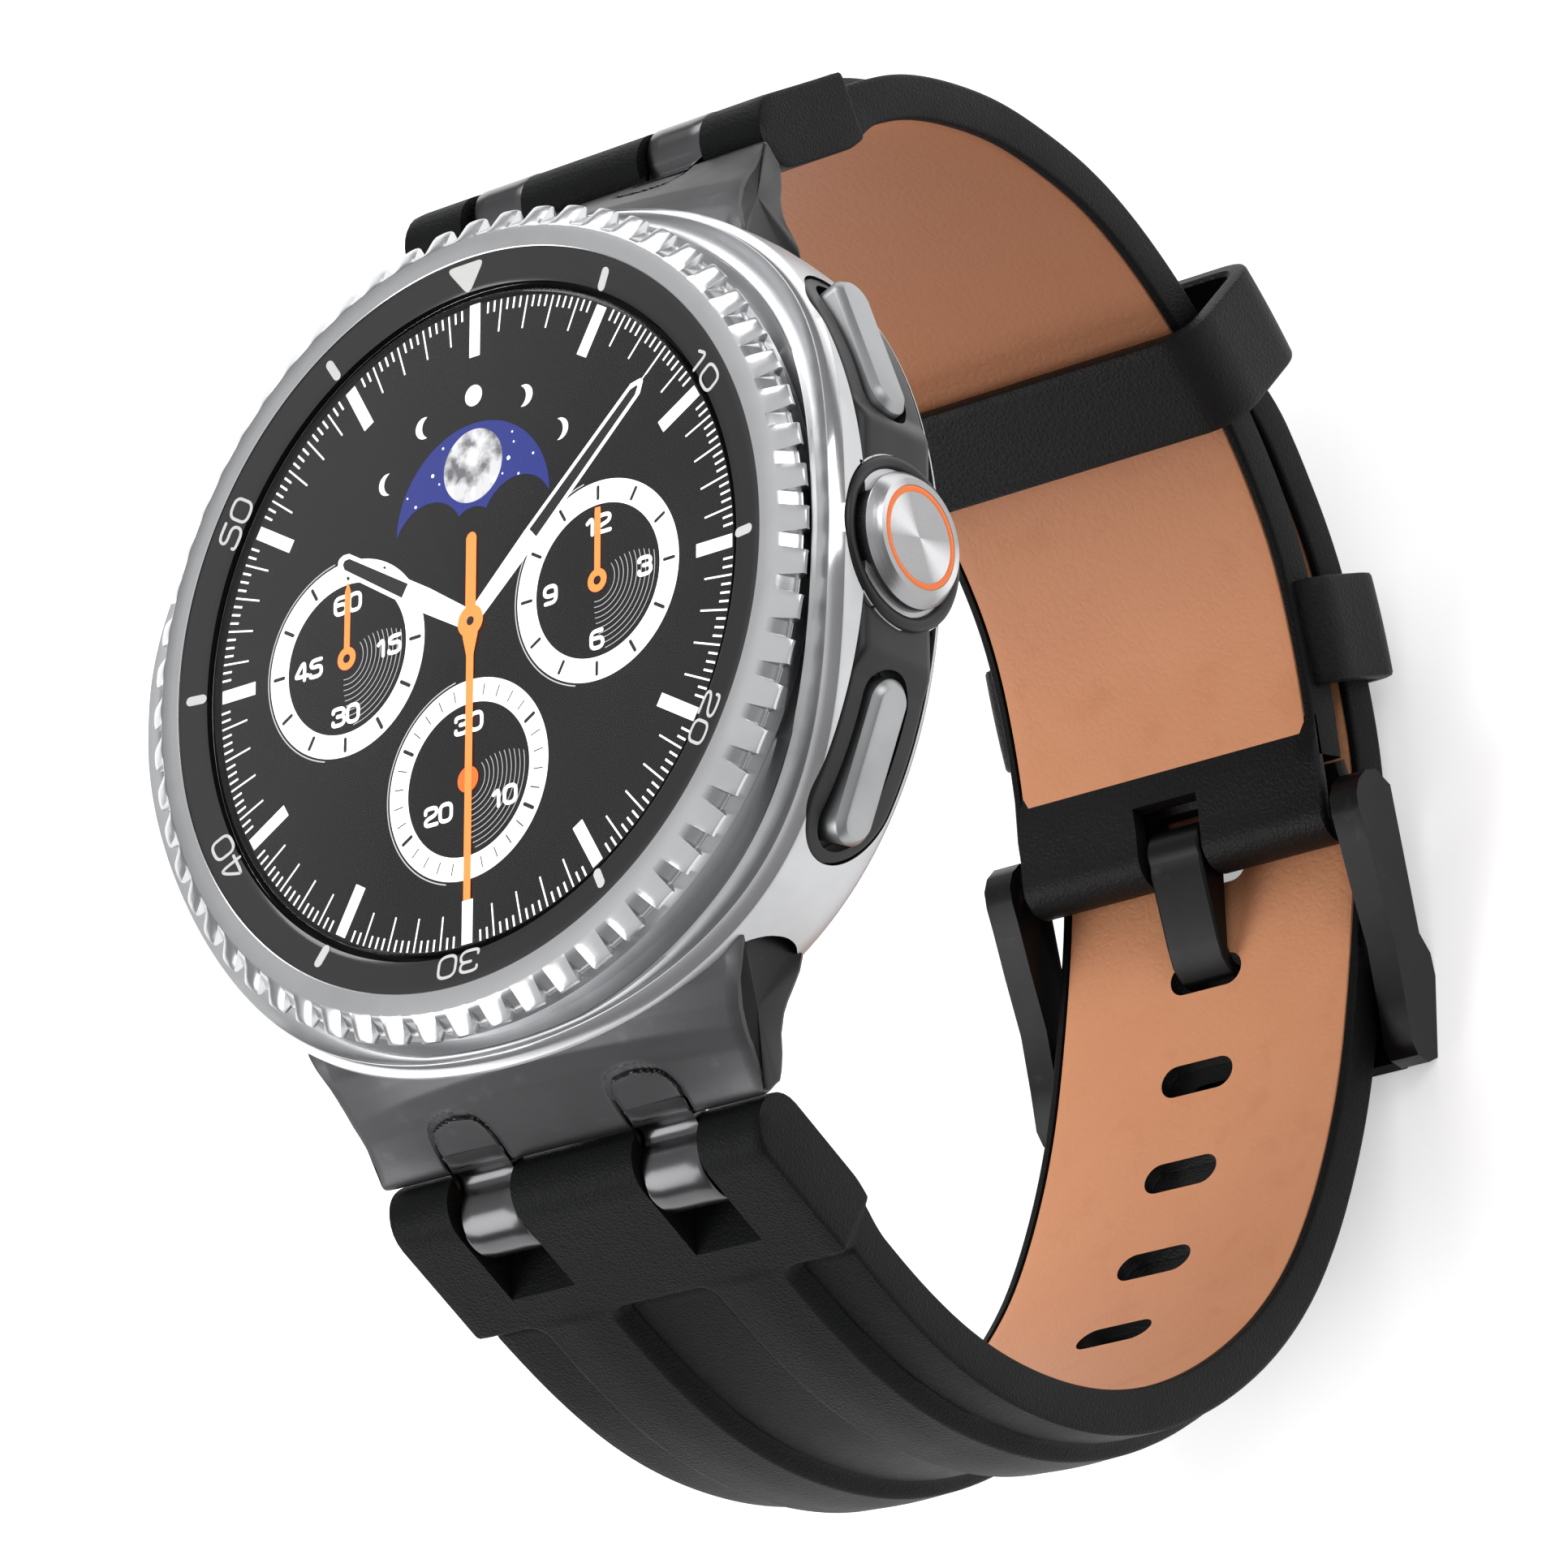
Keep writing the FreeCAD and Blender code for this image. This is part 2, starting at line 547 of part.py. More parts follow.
def ribbon(points, offset_in, offset_out, side, half=12.5):
    """Slab between two offsets of the centre line, extruded across the strap."""
    curve = centre_curve(points)
    first, last = curve.FirstParameter, curve.LastParameter
    inner, outer = [], []
    for step in range(61):
        parameter = first + (last - first) * step / 60.0
        place = curve.value(parameter)
        normal = outward(curve, parameter, side)
        inner.append(place + normal * offset_in)
        outer.append(place + normal * offset_out)
    inner_curve, outer_curve = Part.BSplineCurve(), Part.BSplineCurve()
    inner_curve.interpolate(inner)
    outer_curve.interpolate(outer)
    wire = Part.Wire([inner_curve.toShape(), Part.LineSegment(inner[-1], outer[-1]).toShape(),
                      outer_curve.toShape(), Part.LineSegment(outer[0], inner[0]).toShape()])
    face = Part.Face(wire)
    face.translate(V(-half, 0, 0))
    return face.extrude(V(2 * half, 0, 0))


def taper():
    """Prism that narrows the strap from the lugs to the buckle."""
    wide, narrow = dim("strapWide"), dim("strapNarrow")
    corners = [V(-wide, -60, -5), V(wide, -60, -5), V(wide, -60, -16), V(narrow, -60, -56),
               V(narrow, -60, -66), V(-narrow, -60, -66), V(-narrow, -60, -56), V(-wide, -60, -16)]
    return Part.Face(Part.makePolygon(corners + [corners[0]])).extrude(V(0, 120, 0))


def rolled_end():
    """Thick rolled end of the strap at 12 o'clock, with its bar tunnel and hook windows."""
    bar_y, bar_z = dim("barY"), dim("barZ")
    half = dim("endThick") / 2.0
    along = V(0, 0.60, -0.80)
    across = V(0, 0.80, 0.60)
    start = V(0, bar_y, bar_z)
    finish = start + along * 4.6
    block = side_slab([((start + across * half).y, (start + across * half).z),
                       ((finish + across * half).y, (finish + across * half).z),
                       ((finish + along * 1.2 + across * 1.2).y,
                        (finish + along * 1.2 + across * 1.2).z),
                       ((finish + along * 1.2 - across * 1.2).y,
                        (finish + along * 1.2 - across * 1.2).z),
                       ((start - across * half).y, (start - across * half).z)], -11.9, 11.9)
    nose = Part.makeCylinder(half, 23.8, V(-11.9, bar_y, bar_z), X_AXIS)
    end = block.fuse(nose)
    end = end.cut(Part.makeCylinder(dim("barRadius") + 0.02, 40, V(-20, bar_y, bar_z), X_AXIS))
    for sign in (1, -1):
        middle = sign * dim("prongX")
        half_window = dim("prongWidth") / 2.0 + 0.35
        end = end.cut(box(middle - half_window, middle + half_window, bar_y - 4.0, bar_y + 2.35,
                          bar_z - 2.3, bar_z + 4.0))
    return end


half_thick = dim("strapThick") / 2.0
lining_top = -half_thick + dim("liningThick")
tapering = taper()
roll = rolled_end()
short_leather = ribbon(SHORT_LINE, lining_top + 0.02, half_thick, -1).common(tapering)
short_lining = ribbon(SHORT_LINE, -half_thick, lining_top, -1, 12.4).common(tapering)
near_bar = Part.makeCylinder(2.6, 40, V(-20, dim("barY"), dim("barZ")), X_AXIS)
short_leather = short_leather.cut(near_bar).fuse(roll)
short_lining = short_lining.cut(roll).cut(near_bar)
keep_shape(short_leather, "strap_short_leather")
keep_shape(short_lining, "strap_short_lining")

long_curve = centre_curve(LONG_LINE)
slots = []
pin_parameter = long_curve.parameter(V(0, -2.9, -61.35))
pin_place = long_curve.value(pin_parameter)
pin_length = long_curve.length(long_curve.FirstParameter, pin_parameter)
for number in range(-2, 5):
    parameter = long_curve.parameterAtDistance(pin_length - number * dim("slotPitch"),
                                               long_curve.FirstParameter)
    place = long_curve.value(parameter)
    normal = outward(long_curve, parameter, 1)
    angle = math.degrees(math.atan2(normal.z, normal.y))
    length, width = dim("slotLength"), dim("slotWidth")
    half = (length - width) / 2.0
    cutter = box(-half, half, -4.0, 4.0, -width / 2, width / 2)
    for end in (-half, half):
        cutter = cutter.fuse(Part.makeCylinder(width / 2, 8.0, V(end, -4.0, 0), Y_AXIS))
    slots.append(placed(cutter, place, angle, X_AXIS))
slot_cutter = Part.makeCompound(slots)
long_leather = ribbon(LONG_LINE, lining_top + 0.02, half_thick - 0.1, 1).common(tapering)
long_lining = ribbon(LONG_LINE, -half_thick + 0.1, lining_top, 1, 12.4).common(tapering)
lower_roll = mirrored(roll)
lower_near = mirrored(near_bar)
long_leather = long_leather.cut(lower_near).fuse(lower_roll).cut(slot_cutter)
long_lining = long_lining.cut(lower_roll).cut(lower_near).cut(slot_cutter)
keep_shape(long_leather, "strap_long_leather")
keep_shape(long_lining, "strap_long_lining")

# --------------------------------------------------------------------- buckle
pin_y, pin_z = dim("buckleY"), dim("buckleZ")
pin_radius = 0.75
bar_end = 12.3
keep_shape(rod(pin_radius, V(-bar_end, pin_y, pin_z), V(bar_end, pin_y, pin_z)), "buckle_bar")

narrow = dim("strapNarrow")
fold = Part.makeCylinder(1.7, 2 * narrow - 0.1, V(-narrow + 0.05, pin_y, pin_z), X_AXIS)
flap = side_slab([(pin_y, pin_z + 1.7), (8.9, -56.35), (9.0, -56.75), (6.6, -57.2),
                  (6.55, -59.1), (pin_y, pin_z - 1.7)], -narrow + 0.05, narrow - 0.05)
fold = fold.fuse(flap).cut(ribbon(SHORT_LINE, -half_thick - 0.01, half_thick + 0.01, -1))
fold = fold.cut(Part.makeCylinder(pin_radius + 0.02, 40, V(-20, pin_y, pin_z), X_AXIS))
notch_half = dim("tongueWidth") / 2.0 + 0.35
fold = fold.cut(box(-notch_half, notch_half, pin_y - 4.0, 6.3, pin_z - 3.0, pin_z + 5.0))
keep_shape(fold, "strap_fold")

arm_profile = [(5.75, -58.7), (5.45, -57.75), (4.75, -57.1), (3.9, -56.85), (3.0, -57.05),
               (1.8, -57.6), (-0.6, -58.6), (-3.7, -60.0), (-6.7, -60.8), (-8.9, -61.3),
               (-9.6, -61.9), (-9.75, -62.9), (-9.3, -63.7), (-4.7, -63.7), (-3.5, -63.3),
               (-2.6, -62.3), (0.7, -61.35), (3.7, -60.45), (5.2, -60.0)]
inner_x, outer_x = dim("armInner"), dim("armOuter")
arms = side_slab(arm_profile, inner_x, outer_x).fuse(side_slab(arm_profile, -outer_x, -inner_x))
cross_bar = side_slab([(-9.4, -62.75), (-3.6, -62.85), (-3.4, -63.2), (-4.6, -63.7), (-9.3, -63.7),
                       (-9.7, -63.2)], -inner_x - 0.1, inner_x + 0.1)
cross_bar = cross_bar.cut(ribbon(LONG_LINE, -half_thick, half_thick + 0.2, 1))
frame = arms.fuse(cross_bar)
frame = frame.cut(rod(pin_radius + dim("runningFit"), V(-bar_end - 0.1, pin_y, pin_z),
                      V(bar_end + 0.1, pin_y, pin_z)))
frame = frame.cut(box(-2.2, 2.2, -4.4, -2.5, -64.5, -62.0))
keep_shape(frame, "buckle_frame")

tongue_half = dim("tongueWidth") / 2.0
eye = Part.makeCylinder(1.45, 2 * tongue_half, V(-tongue_half, pin_y, pin_z), X_AXIS)
plate = side_slab([(pin_y + 0.4, pin_z + 1.38), (pin_y - 1.4, pin_z + 1.1), (-1.2, -58.95),
                   (-2.3, -59.45), (-3.1, -60.35), (-3.3, -61.75), (-2.5, -61.75),
                   (-2.4, -61.2), (-2.3, -60.45), (-1.6, -59.85), (pin_y - 1.0, pin_z - 0.9),
                   (pin_y, pin_z)], -tongue_half, tongue_half)
tongue = eye.fuse(plate).cut(rod(pin_radius + dim("runningFit"), V(-20, pin_y, pin_z),
                                 V(20, pin_y, pin_z)))
keep_shape(tongue, "buckle_tongue")


# -------------------------------------------------------------------- keepers
def loop_frame(place, tangent):
    """Rotation that carries local Y to the strap's direction and local Z inward."""
    angle = math.degrees(math.atan2(tangent.z, tangent.y))
    return lambda shape: placed(shape, place, angle, X_AXIS)


def band(half_x, low, high, length, corner):
    """Rounded rectangular tube with its opening along local Y."""
    block = box(-half_x, half_x, -length / 2, length / 2, low, high)
    return block.makeFillet(corner, [edge for edge in block.Edges
                                     if abs(edge.BoundBox.YLength - length) < 1e-6])


leather = dim("leather")
length = dim("keeperLong")
short_curve = centre_curve(SHORT_LINE)
float_place = V(0, 26.55, -47.55)
float_set = loop_frame(float_place, V(0, 0.672, 0.741))
outer_band = band(12.5, -5.75, 2.75, length, 1.6)
inner_band = band(12.5 - leather, -4.6, 1.6, length + 1, 0.7)
keep_shape(float_set(outer_band.cut(inner_band)), "keeper_floating")

fixed_place = V(0, 14.0, -57.85)
fixed_set = loop_frame(fixed_place, V(0, 0.945, 0.327))
outer_band = band(11.75, -4.5, 2.2, length, 1.2)
inner_band = band(11.75 - leather, -3.35, 6.0, length + 1, 0.6)
keep_shape(fixed_set(outer_band.cut(inner_band)), "keeper_fixed")

# --------------------------------------------------------------------- output
doc.recompute()
for item in doc.Objects:
    if "Invalid" in item.State or "Error" in item.State:
        raise RuntimeError("not computed: %s %s" % (item.Label, item.State))
os.makedirs("parts", exist_ok=True)
for item in finished:
    shape = item.Shape
    if shape.isNull() or not shape.isValid():
        raise RuntimeError("bad shape: " + item.Label)
    shape.exportStep("parts/%s.step" % item.Label)
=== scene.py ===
"""Looks of a round smartwatch on a buckled leather strap.

Every design value below is in millimetres in the dial frame: the origin is the centre
of the display face, +X points to 3 o'clock, +Y to 12 o'clock and +Z out of the dial.
"""
import math

import bmesh
import bpy
import numpy as np
from mathutils import Matrix, Vector


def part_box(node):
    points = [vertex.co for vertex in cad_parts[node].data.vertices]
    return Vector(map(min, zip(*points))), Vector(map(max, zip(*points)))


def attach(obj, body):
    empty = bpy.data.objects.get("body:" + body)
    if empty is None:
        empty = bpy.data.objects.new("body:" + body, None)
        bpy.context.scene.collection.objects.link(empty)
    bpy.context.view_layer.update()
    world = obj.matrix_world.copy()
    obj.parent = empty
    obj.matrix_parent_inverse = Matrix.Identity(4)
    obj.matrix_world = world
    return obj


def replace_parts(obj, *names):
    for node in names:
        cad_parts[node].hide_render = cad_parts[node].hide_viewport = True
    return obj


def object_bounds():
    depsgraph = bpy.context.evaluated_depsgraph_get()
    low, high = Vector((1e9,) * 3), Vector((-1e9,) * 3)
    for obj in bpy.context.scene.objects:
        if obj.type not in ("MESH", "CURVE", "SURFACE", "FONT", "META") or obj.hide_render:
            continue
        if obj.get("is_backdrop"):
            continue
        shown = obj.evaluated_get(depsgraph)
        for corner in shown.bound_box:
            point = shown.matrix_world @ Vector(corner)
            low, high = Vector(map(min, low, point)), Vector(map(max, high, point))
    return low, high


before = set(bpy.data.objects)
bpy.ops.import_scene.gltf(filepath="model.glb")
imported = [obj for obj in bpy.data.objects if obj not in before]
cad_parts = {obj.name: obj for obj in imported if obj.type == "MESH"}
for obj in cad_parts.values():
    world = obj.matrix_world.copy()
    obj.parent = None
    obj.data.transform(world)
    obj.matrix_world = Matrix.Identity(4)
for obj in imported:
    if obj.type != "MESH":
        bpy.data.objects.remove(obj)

CAD_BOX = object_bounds()

MM = 0.001
COVER_TOP = 0.35
cover_low, cover_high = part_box("display_cover")
DIAL = np.array([(cover_low.x + cover_high.x) / 2, (cover_low.y + cover_high.y) / 2,
                 cover_high.z - COVER_TOP * MM])


# ------------------------------------------------------------------ mesh tools
def smooth_step(value):
    """Cubic ease of values clipped to 0..1."""
    value = np.clip(value, 0.0, 1.0)
    return value * value * (3.0 - 2.0 * value)


def grid(rows, columns, wrap_rows=False, wrap_columns=True):
    """Quads of a rows x columns grid of points, wrapped round in either direction."""
    last_row = rows if wrap_rows else rows - 1
    last_column = columns if wrap_columns else columns - 1
    r, c = np.meshgrid(np.arange(last_row), np.arange(last_column), indexing="ij")
    r, c = r.ravel(), c.ravel()
    r1, c1 = (r + 1) % rows, (c + 1) % columns
    return np.stack([r * columns + c, r * columns + c1, r1 * columns + c1, r1 * columns + c], 1)


def outward_faces(mesh):
    """Merge doubles and point every face outwards."""
    shell = bmesh.new()
    shell.from_mesh(mesh)
    bmesh.ops.remove_doubles(shell, verts=shell.verts, dist=1e-7)
    bmesh.ops.recalc_face_normals(shell, faces=shell.faces)
    shell.to_mesh(mesh)
    shell.free()


def shade(mesh, angle):
    """Smooth shading that stays crisp over edges sharper than angle degrees."""
    mesh.polygons.foreach_set("use_smooth", np.ones(len(mesh.polygons), bool))
    mesh.set_sharp_from_angle(angle=math.radians(angle))


def piece(name, points, faces, body, finish, slot, crisp=38.0, marks=None):
    """Closed mesh from dial-frame points, riding on a body, with its finish.

    marks is a dict of per-point masks that the finish may read.
    """
    mesh = bpy.data.meshes.new(name)
    place = np.asarray(points, float) * MM + DIAL
    mesh.from_pydata(place.tolist(), [], [list(map(int, face)) for face in faces])
    for label, values in (marks or {}).items():
        layer = mesh.attributes.new(label, "FLOAT", "POINT")
        layer.data.foreach_set("value", np.asarray(values, np.float32).ravel())
    outward_faces(mesh)
    shade(mesh, crisp)
    item = bpy.data.objects.new(name, mesh)
    bpy.context.scene.collection.objects.link(item)
    item.data.materials.append(finish)
    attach(item, body)
    return item


def rounded_edges(item, width, segments, angle):
    """Bevel of width millimetres on the edges sharper than angle degrees."""
    bevel = item.modifiers.new("soft_edges", "BEVEL")
    bevel.width = width * MM
    bevel.segments = segments
    bevel.limit_method = "ANGLE"
    bevel.angle_limit = math.radians(angle)
    bevel.harden_normals = True


def capped_tube(loops):
    """Points and faces of a tube through an array of loops (rows, columns, 3), ends closed."""
    rows, columns = loops.shape[:2]
    points = loops.reshape(-1, 3)
    faces = [list(face) for face in grid(rows, columns)]
    points = np.vstack([points, loops[0].mean(0), loops[-1].mean(0)])
    first, last = len(points) - 2, len(points) - 1
    for column in range(columns):
        following = (column + 1) % columns
        faces.append([first, following, column])
        faces.append([last, (rows - 1) * columns + column, (rows - 1) * columns + following])
    return points, faces


def lathe(profile, count=256):
    """Closed ring: a closed (radius, height) profile turned about the dial axis."""
    profile = np.asarray(profile, float)
    turn = np.linspace(0, 2 * math.pi, count, endpoint=False)
    radius, height = profile[:, 0][:, None], profile[:, 1][:, None]
    points = np.stack([radius * np.cos(turn), radius * np.sin(turn),
                       np.broadcast_to(height, (len(profile), count))], -1)
    return points.reshape(-1, 3), grid(len(profile), count, True, True)


def rounded(corners, radius, closed=False, steps=7):
    """Path through corners, each corner replaced by a quadratic curve of that reach."""
    corners = [np.asarray(corner, float) for corner in corners]
    count = len(corners)
    path = []
    for index in range(count):
        here = corners[index]
        if not closed and index in (0, count - 1):
            path.append(here)
            continue
        before, after = corners[index - 1], corners[(index + 1) % count]
        reach_in = min(radius, np.linalg.norm(before - here) * 0.5)
        reach_out = min(radius, np.linalg.norm(after - here) * 0.5)
        start = here + (before - here) / np.linalg.norm(before - here) * reach_in
        end = here + (after - here) / np.linalg.norm(after - here) * reach_out
        for step in np.linspace(0, 1, steps):
            path.append((1 - step) ** 2 * start + 2 * step * (1 - step) * here + step ** 2 * end)
    return np.array(path)


def ray(angle):
    """Flat unit vector at an angle in degrees."""
    return np.array([math.cos(math.radians(angle)), math.sin(math.radians(angle))])


def slab(left, right, low, high):
    """Loops of four points between two matching flat curves, from height low to high."""
    tall = lambda flat, height: np.column_stack([flat, np.full(len(flat), height)])
    return np.stack([tall(left, low), tall(right, low), tall(right, high), tall(left, high)], 1)


class Prints:
    """Thin printed shapes on the display or the bezel, gathered into one mesh."""

    def __init__(self):
        self.points = []
        self.faces = []
        self.count = 0

    def add(self, points, faces):
        """Join one closed shape to the print."""
        self.points.append(np.asarray(points, float))
        self.faces.extend([[int(i) + self.count for i in face] for face in faces])
        self.count += len(points)

    def plate(self, left, right, low, high):
        """Slab between two matching flat curves, from height low to height high."""
        left, right = np.asarray(left, float), np.asarray(right, float)
        self.add(*capped_tube(slab(left, right, low, high)))

    def stroke(self, path, width, low, high, closed=False):
        """Line of one width along a flat path, with rounded ends unless it is closed."""
        path = np.asarray(path, float)
        if closed:
            before, after = np.roll(path, 1, 0), np.roll(path, -1, 0)
        else:
            before, after = np.vstack([path[:1], path[:-1]]), np.vstack([path[1:], path[-1:]])
        run = after - before
        run /= np.linalg.norm(run, axis=1)[:, None] + 1e-12
        side = np.column_stack([-run[:, 1], run[:, 0]])
        half = np.full(len(path), width / 2.0)
        if not closed:
            turn = np.radians([80, 60, 40, 20])
            head = path[0] - run[0] * np.sin(turn)[:, None] * width / 2
            tail = path[-1] + run[-1] * np.sin(turn[::-1])[:, None] * width / 2
            path = np.vstack([head, path, tail])
            side = np.vstack([np.repeat(side[:1], 4, 0), side, np.repeat(side[-1:], 4, 0)])
            half = np.concatenate([np.cos(turn), np.ones(len(half)), np.cos(turn[::-1])])
            half = half * width / 2
        left, right = path + side * half[:, None], path - side * half[:, None]
        if not closed:
            self.plate(left, right, low, high)
            return
        self.add(slab(left, right, low, high).reshape(-1, 3), grid(len(path), 4, True, True))

    def bar(self, angle, start, end, width, low, high, centre=(0.0, 0.0)):
        """Radial bar of one width with square ends."""
        along = ray(angle)
        across = np.array([-along[1], along[0]])
        near_point, far_point = np.array(centre) + along * start, np.array(centre) + along * end
        self.plate([near_point + across * width / 2, far_point + across * width / 2],
                   [near_point - across * width / 2, far_point - across * width / 2], low, high)

    def blade(self, angle, stations, low, high, centre=(0.0, 0.0)):
        """Hand along an angle from (distance, half width) stations."""
        along = ray(angle)
        across = np.array([-along[1], along[0]])
        stations = np.asarray(stations, float)
        spine = np.array(centre) + stations[:, :1] * along
        self.plate(spine + stations[:, 1:] * across, spine - stations[:, 1:] * across, low, high)

    def ring(self, centre, outer, inner, low, high, start=0.0, end=360.0, count=96):
        """Flat ring, or an arc of one, about centre."""
        full = end - start >= 360.0
        turn = np.radians(np.linspace(start, end, count, endpoint=not full))
        flat = np.column_stack([np.cos(turn), np.sin(turn)])
        out, back = np.array(centre) + flat * outer, np.array(centre) + flat * inner
        if not full:
            self.plate(out, back, low, high)
            return
        self.add(slab(out, back, low, high).reshape(-1, 3), grid(count, 4, True, True))

    def shape(self, outline, low, high):
        """Filled flat shape from an outline that its middle can see all round."""
        outline = np.asarray(outline, float)
        tall = lambda height: np.column_stack([outline, np.full(len(outline), height)])
        self.add(*capped_tube(np.stack([tall(low), tall(high)], 0)))

    def dot(self, centre, radius, low, high, count=48):
        """Filled disc."""
        turn = np.linspace(0, 2 * math.pi, count, endpoint=False)
        self.shape(np.array(centre) + radius * np.column_stack([np.cos(turn), np.sin(turn)]),
                   low, high)

    def text(self, word, centre, height, wide, width, low, high, turn=0.0):
        """Numerals from rounded strokes, centred on a point and turned by turn degrees."""
        advance = [DIGIT_WIDTH.get(letter, 1.0) for letter in word]
        total = sum(advance) - 0.24
        cursor = -total / 2
        spin = math.radians(turn)
        matrix = np.array([[math.cos(spin), math.sin(spin)], [-math.sin(spin), math.cos(spin)]])
        for letter, step in zip(word, advance):
            for layer, (corners, closed) in enumerate(DIGITS[letter]):
                flat = rounded(corners, 0.34, closed)
                flat = (flat + [cursor, -0.5]) * [wide, height]
                flat = flat @ matrix + np.array(centre)
                self.stroke(flat, width, low, high + 0.0004 * layer, closed)
            cursor += step

    def piece(self, name, body, finish, slot, lift=None, crisp=38.0):
        """Finish the print as one object; lift gives extra height at each point."""
        points = np.vstack(self.points)
        if lift is not None:
            points[:, 2] += lift(points)
        return piece(name, points, self.faces, body, finish, slot, crisp)


DIGIT_WIDTH = {"1": 0.74}
DIGITS = {
    "0": [([(0, 0), (0.76, 0), (0.76, 1), (0, 1)], True)],
    "1": [([(0.0, 0.72), (0.34, 1.0), (0.34, 0.0)], False)],
    "2": [([(0, 0.72), (0, 1), (0.76, 1), (0.76, 0.56), (0, 0.36), (0, 0), (0.78, 0)], False)],
    "3": [([(0, 0.8), (0, 1), (0.75, 1), (0.75, 0.53), (0.3, 0.53)], False),
          ([(0.3, 0.53), (0.78, 0.53), (0.78, 0), (0, 0), (0, 0.22)], False)],
    "4": [([(0.58, 0.0), (0.58, 1.0), (0.42, 1.0), (0, 0.34), (0, 0.23), (0.8, 0.23)], False)],
    "5": [([(0.74, 1), (0.06, 1), (0.02, 0.56), (0.77, 0.62), (0.77, 0), (0, 0), (0, 0.16)],
           False)],
    "6": [([(0.7, 1), (0, 1), (0, 0), (0.77, 0), (0.77, 0.58), (0.04, 0.58)], False)],
    "9": [([(0.07, 0), (0.77, 0), (0.77, 1), (0, 1), (0, 0.42), (0.73, 0.42)], False)],
}


# -------------------------------------------------------------------- finishes
class Recipe:
    """A finish being mixed: its nodes, its shader and the piece's own coordinates."""

    def __init__(self, name, colour, roughness, metallic=0.0, **sockets):
        self.finish = bpy.data.materials.new(name)
        self.finish.use_nodes = True
        self.nodes = self.finish.node_tree.nodes
        self.links = self.finish.node_tree.links
        self.shader = self.nodes["Principled BSDF"]
        self.shader.inputs["Base Color"].default_value = (*colour, 1.0)
        self.shader.inputs["Roughness"].default_value = roughness
        self.shader.inputs["Metallic"].default_value = metallic
        for label, value in sockets.items():
            self.shader.inputs[label.replace("_", " ")].default_value = value
        self.colour = colour
        self.roughness = roughness
        self.where = self.nodes.new("ShaderNodeTexCoord").outputs["Object"]
        self.relief = None

    def node(self, kind, inputs=None, **settings):
        """New node with its settings, and its inputs set or linked."""
        made = self.nodes.new(kind)
        for label, value in settings.items():
            setattr(made, label, value)
        for label, value in (inputs or {}).items():
            if isinstance(value, bpy.types.NodeSocket):
                self.links.new(value, made.inputs[label])
            else:
                made.inputs[label].default_value = value
        return made

    def centred(self, centre=(0.0, 0.0, 0.0), turn=(0.0, 0.0, 0.0), stretch=(1.0, 1.0, 1.0)):
        """Coordinates in metres about a dial-frame point, turned and stretched."""
        place = DIAL + np.array(centre) * MM
        moved = self.node("ShaderNodeVectorMath", {0: self.where, 1: tuple(-place)},
                          operation="ADD")
        turned = self.node("ShaderNodeMapping", {"Vector": moved.outputs[0], "Rotation": turn,
                                                 "Scale": stretch})
        return turned.outputs[0]

    def noise(self, size, detail=3.0, where=None, rough=0.55):
        """Soft noise whose features are about size millimetres."""
        return self.node("ShaderNodeTexNoise", {
            "Vector": where or self.where, "Scale": 1.0 / (size * MM), "Detail": detail,
            "Roughness": rough}).outputs["Fac"]

    def pebble(self, size, where=None):
        """Leather grain: rounded cells about size millimetres across, parted by creases."""
        bend = self.node("ShaderNodeTexNoise", {"Vector": where or self.where,
                                                "Scale": 0.6 / (size * MM), "Detail": 2.0})
        shift = self.node("ShaderNodeVectorMath", {0: bend.outputs["Color"],
                                                   "Scale": size * MM * 0.9}, operation="SCALE")
        moved = self.node("ShaderNodeVectorMath", {0: where or self.where,
                                                   1: shift.outputs[0]}, operation="ADD")
        cells = self.node("ShaderNodeTexVoronoi", {"Vector": moved.outputs[0],
                                                   "Scale": 1.0 / (size * MM)},
                          feature="DISTANCE_TO_EDGE")
        return self.ramp(cells.outputs["Distance"], [(0.0, 0.0), (0.28, 1.0)])

    def ramp(self, value, stops):
        """Grey curve through (position, level) stops."""
        curve = self.node("ShaderNodeValToRGB", {"Fac": value})
        elements = curve.color_ramp.elements
        while len(elements) < len(stops):
            elements.new(0.5)
        for element, (position, level) in zip(elements, stops):
            element.position = position
            element.color = (level, level, level, 1.0)
        return curve.outputs["Color"]

    def sum(self, first, second, share=0.5):
        """first + share * second."""
        scaled = self.node("ShaderNodeMath", {0: second, 1: share}, operation="MULTIPLY")
        return self.node("ShaderNodeMath", {0: first, 1: scaled.outputs[0]},
                         operation="ADD").outputs[0]

    def mark(self, label):
        """Mask stored in the mesh."""
        return self.node("ShaderNodeAttribute", attribute_name=label).outputs["Fac"]

    def tint(self, factor, colour, low=0.0, high=1.0):
        """Mix another colour over the present one where factor runs from low to high."""
        span = self.node("ShaderNodeMapRange", {"Value": factor, "From Min": low,
                                                "From Max": high})
        blend = self.node("ShaderNodeMix", data_type="RGBA")
        self.links.new(span.outputs[0], blend.inputs["Factor"])
        socket = self.shader.inputs["Base Color"]
        if socket.is_linked:
            self.links.new(socket.links[0].from_socket, blend.inputs["A"])
        else:
            blend.inputs["A"].default_value = socket.default_value
        if isinstance(colour, bpy.types.NodeSocket):
            self.links.new(colour, blend.inputs["B"])
        else:
            blend.inputs["B"].default_value = (*colour, 1.0)
        self.links.new(blend.outputs["Result"], socket)
        return self

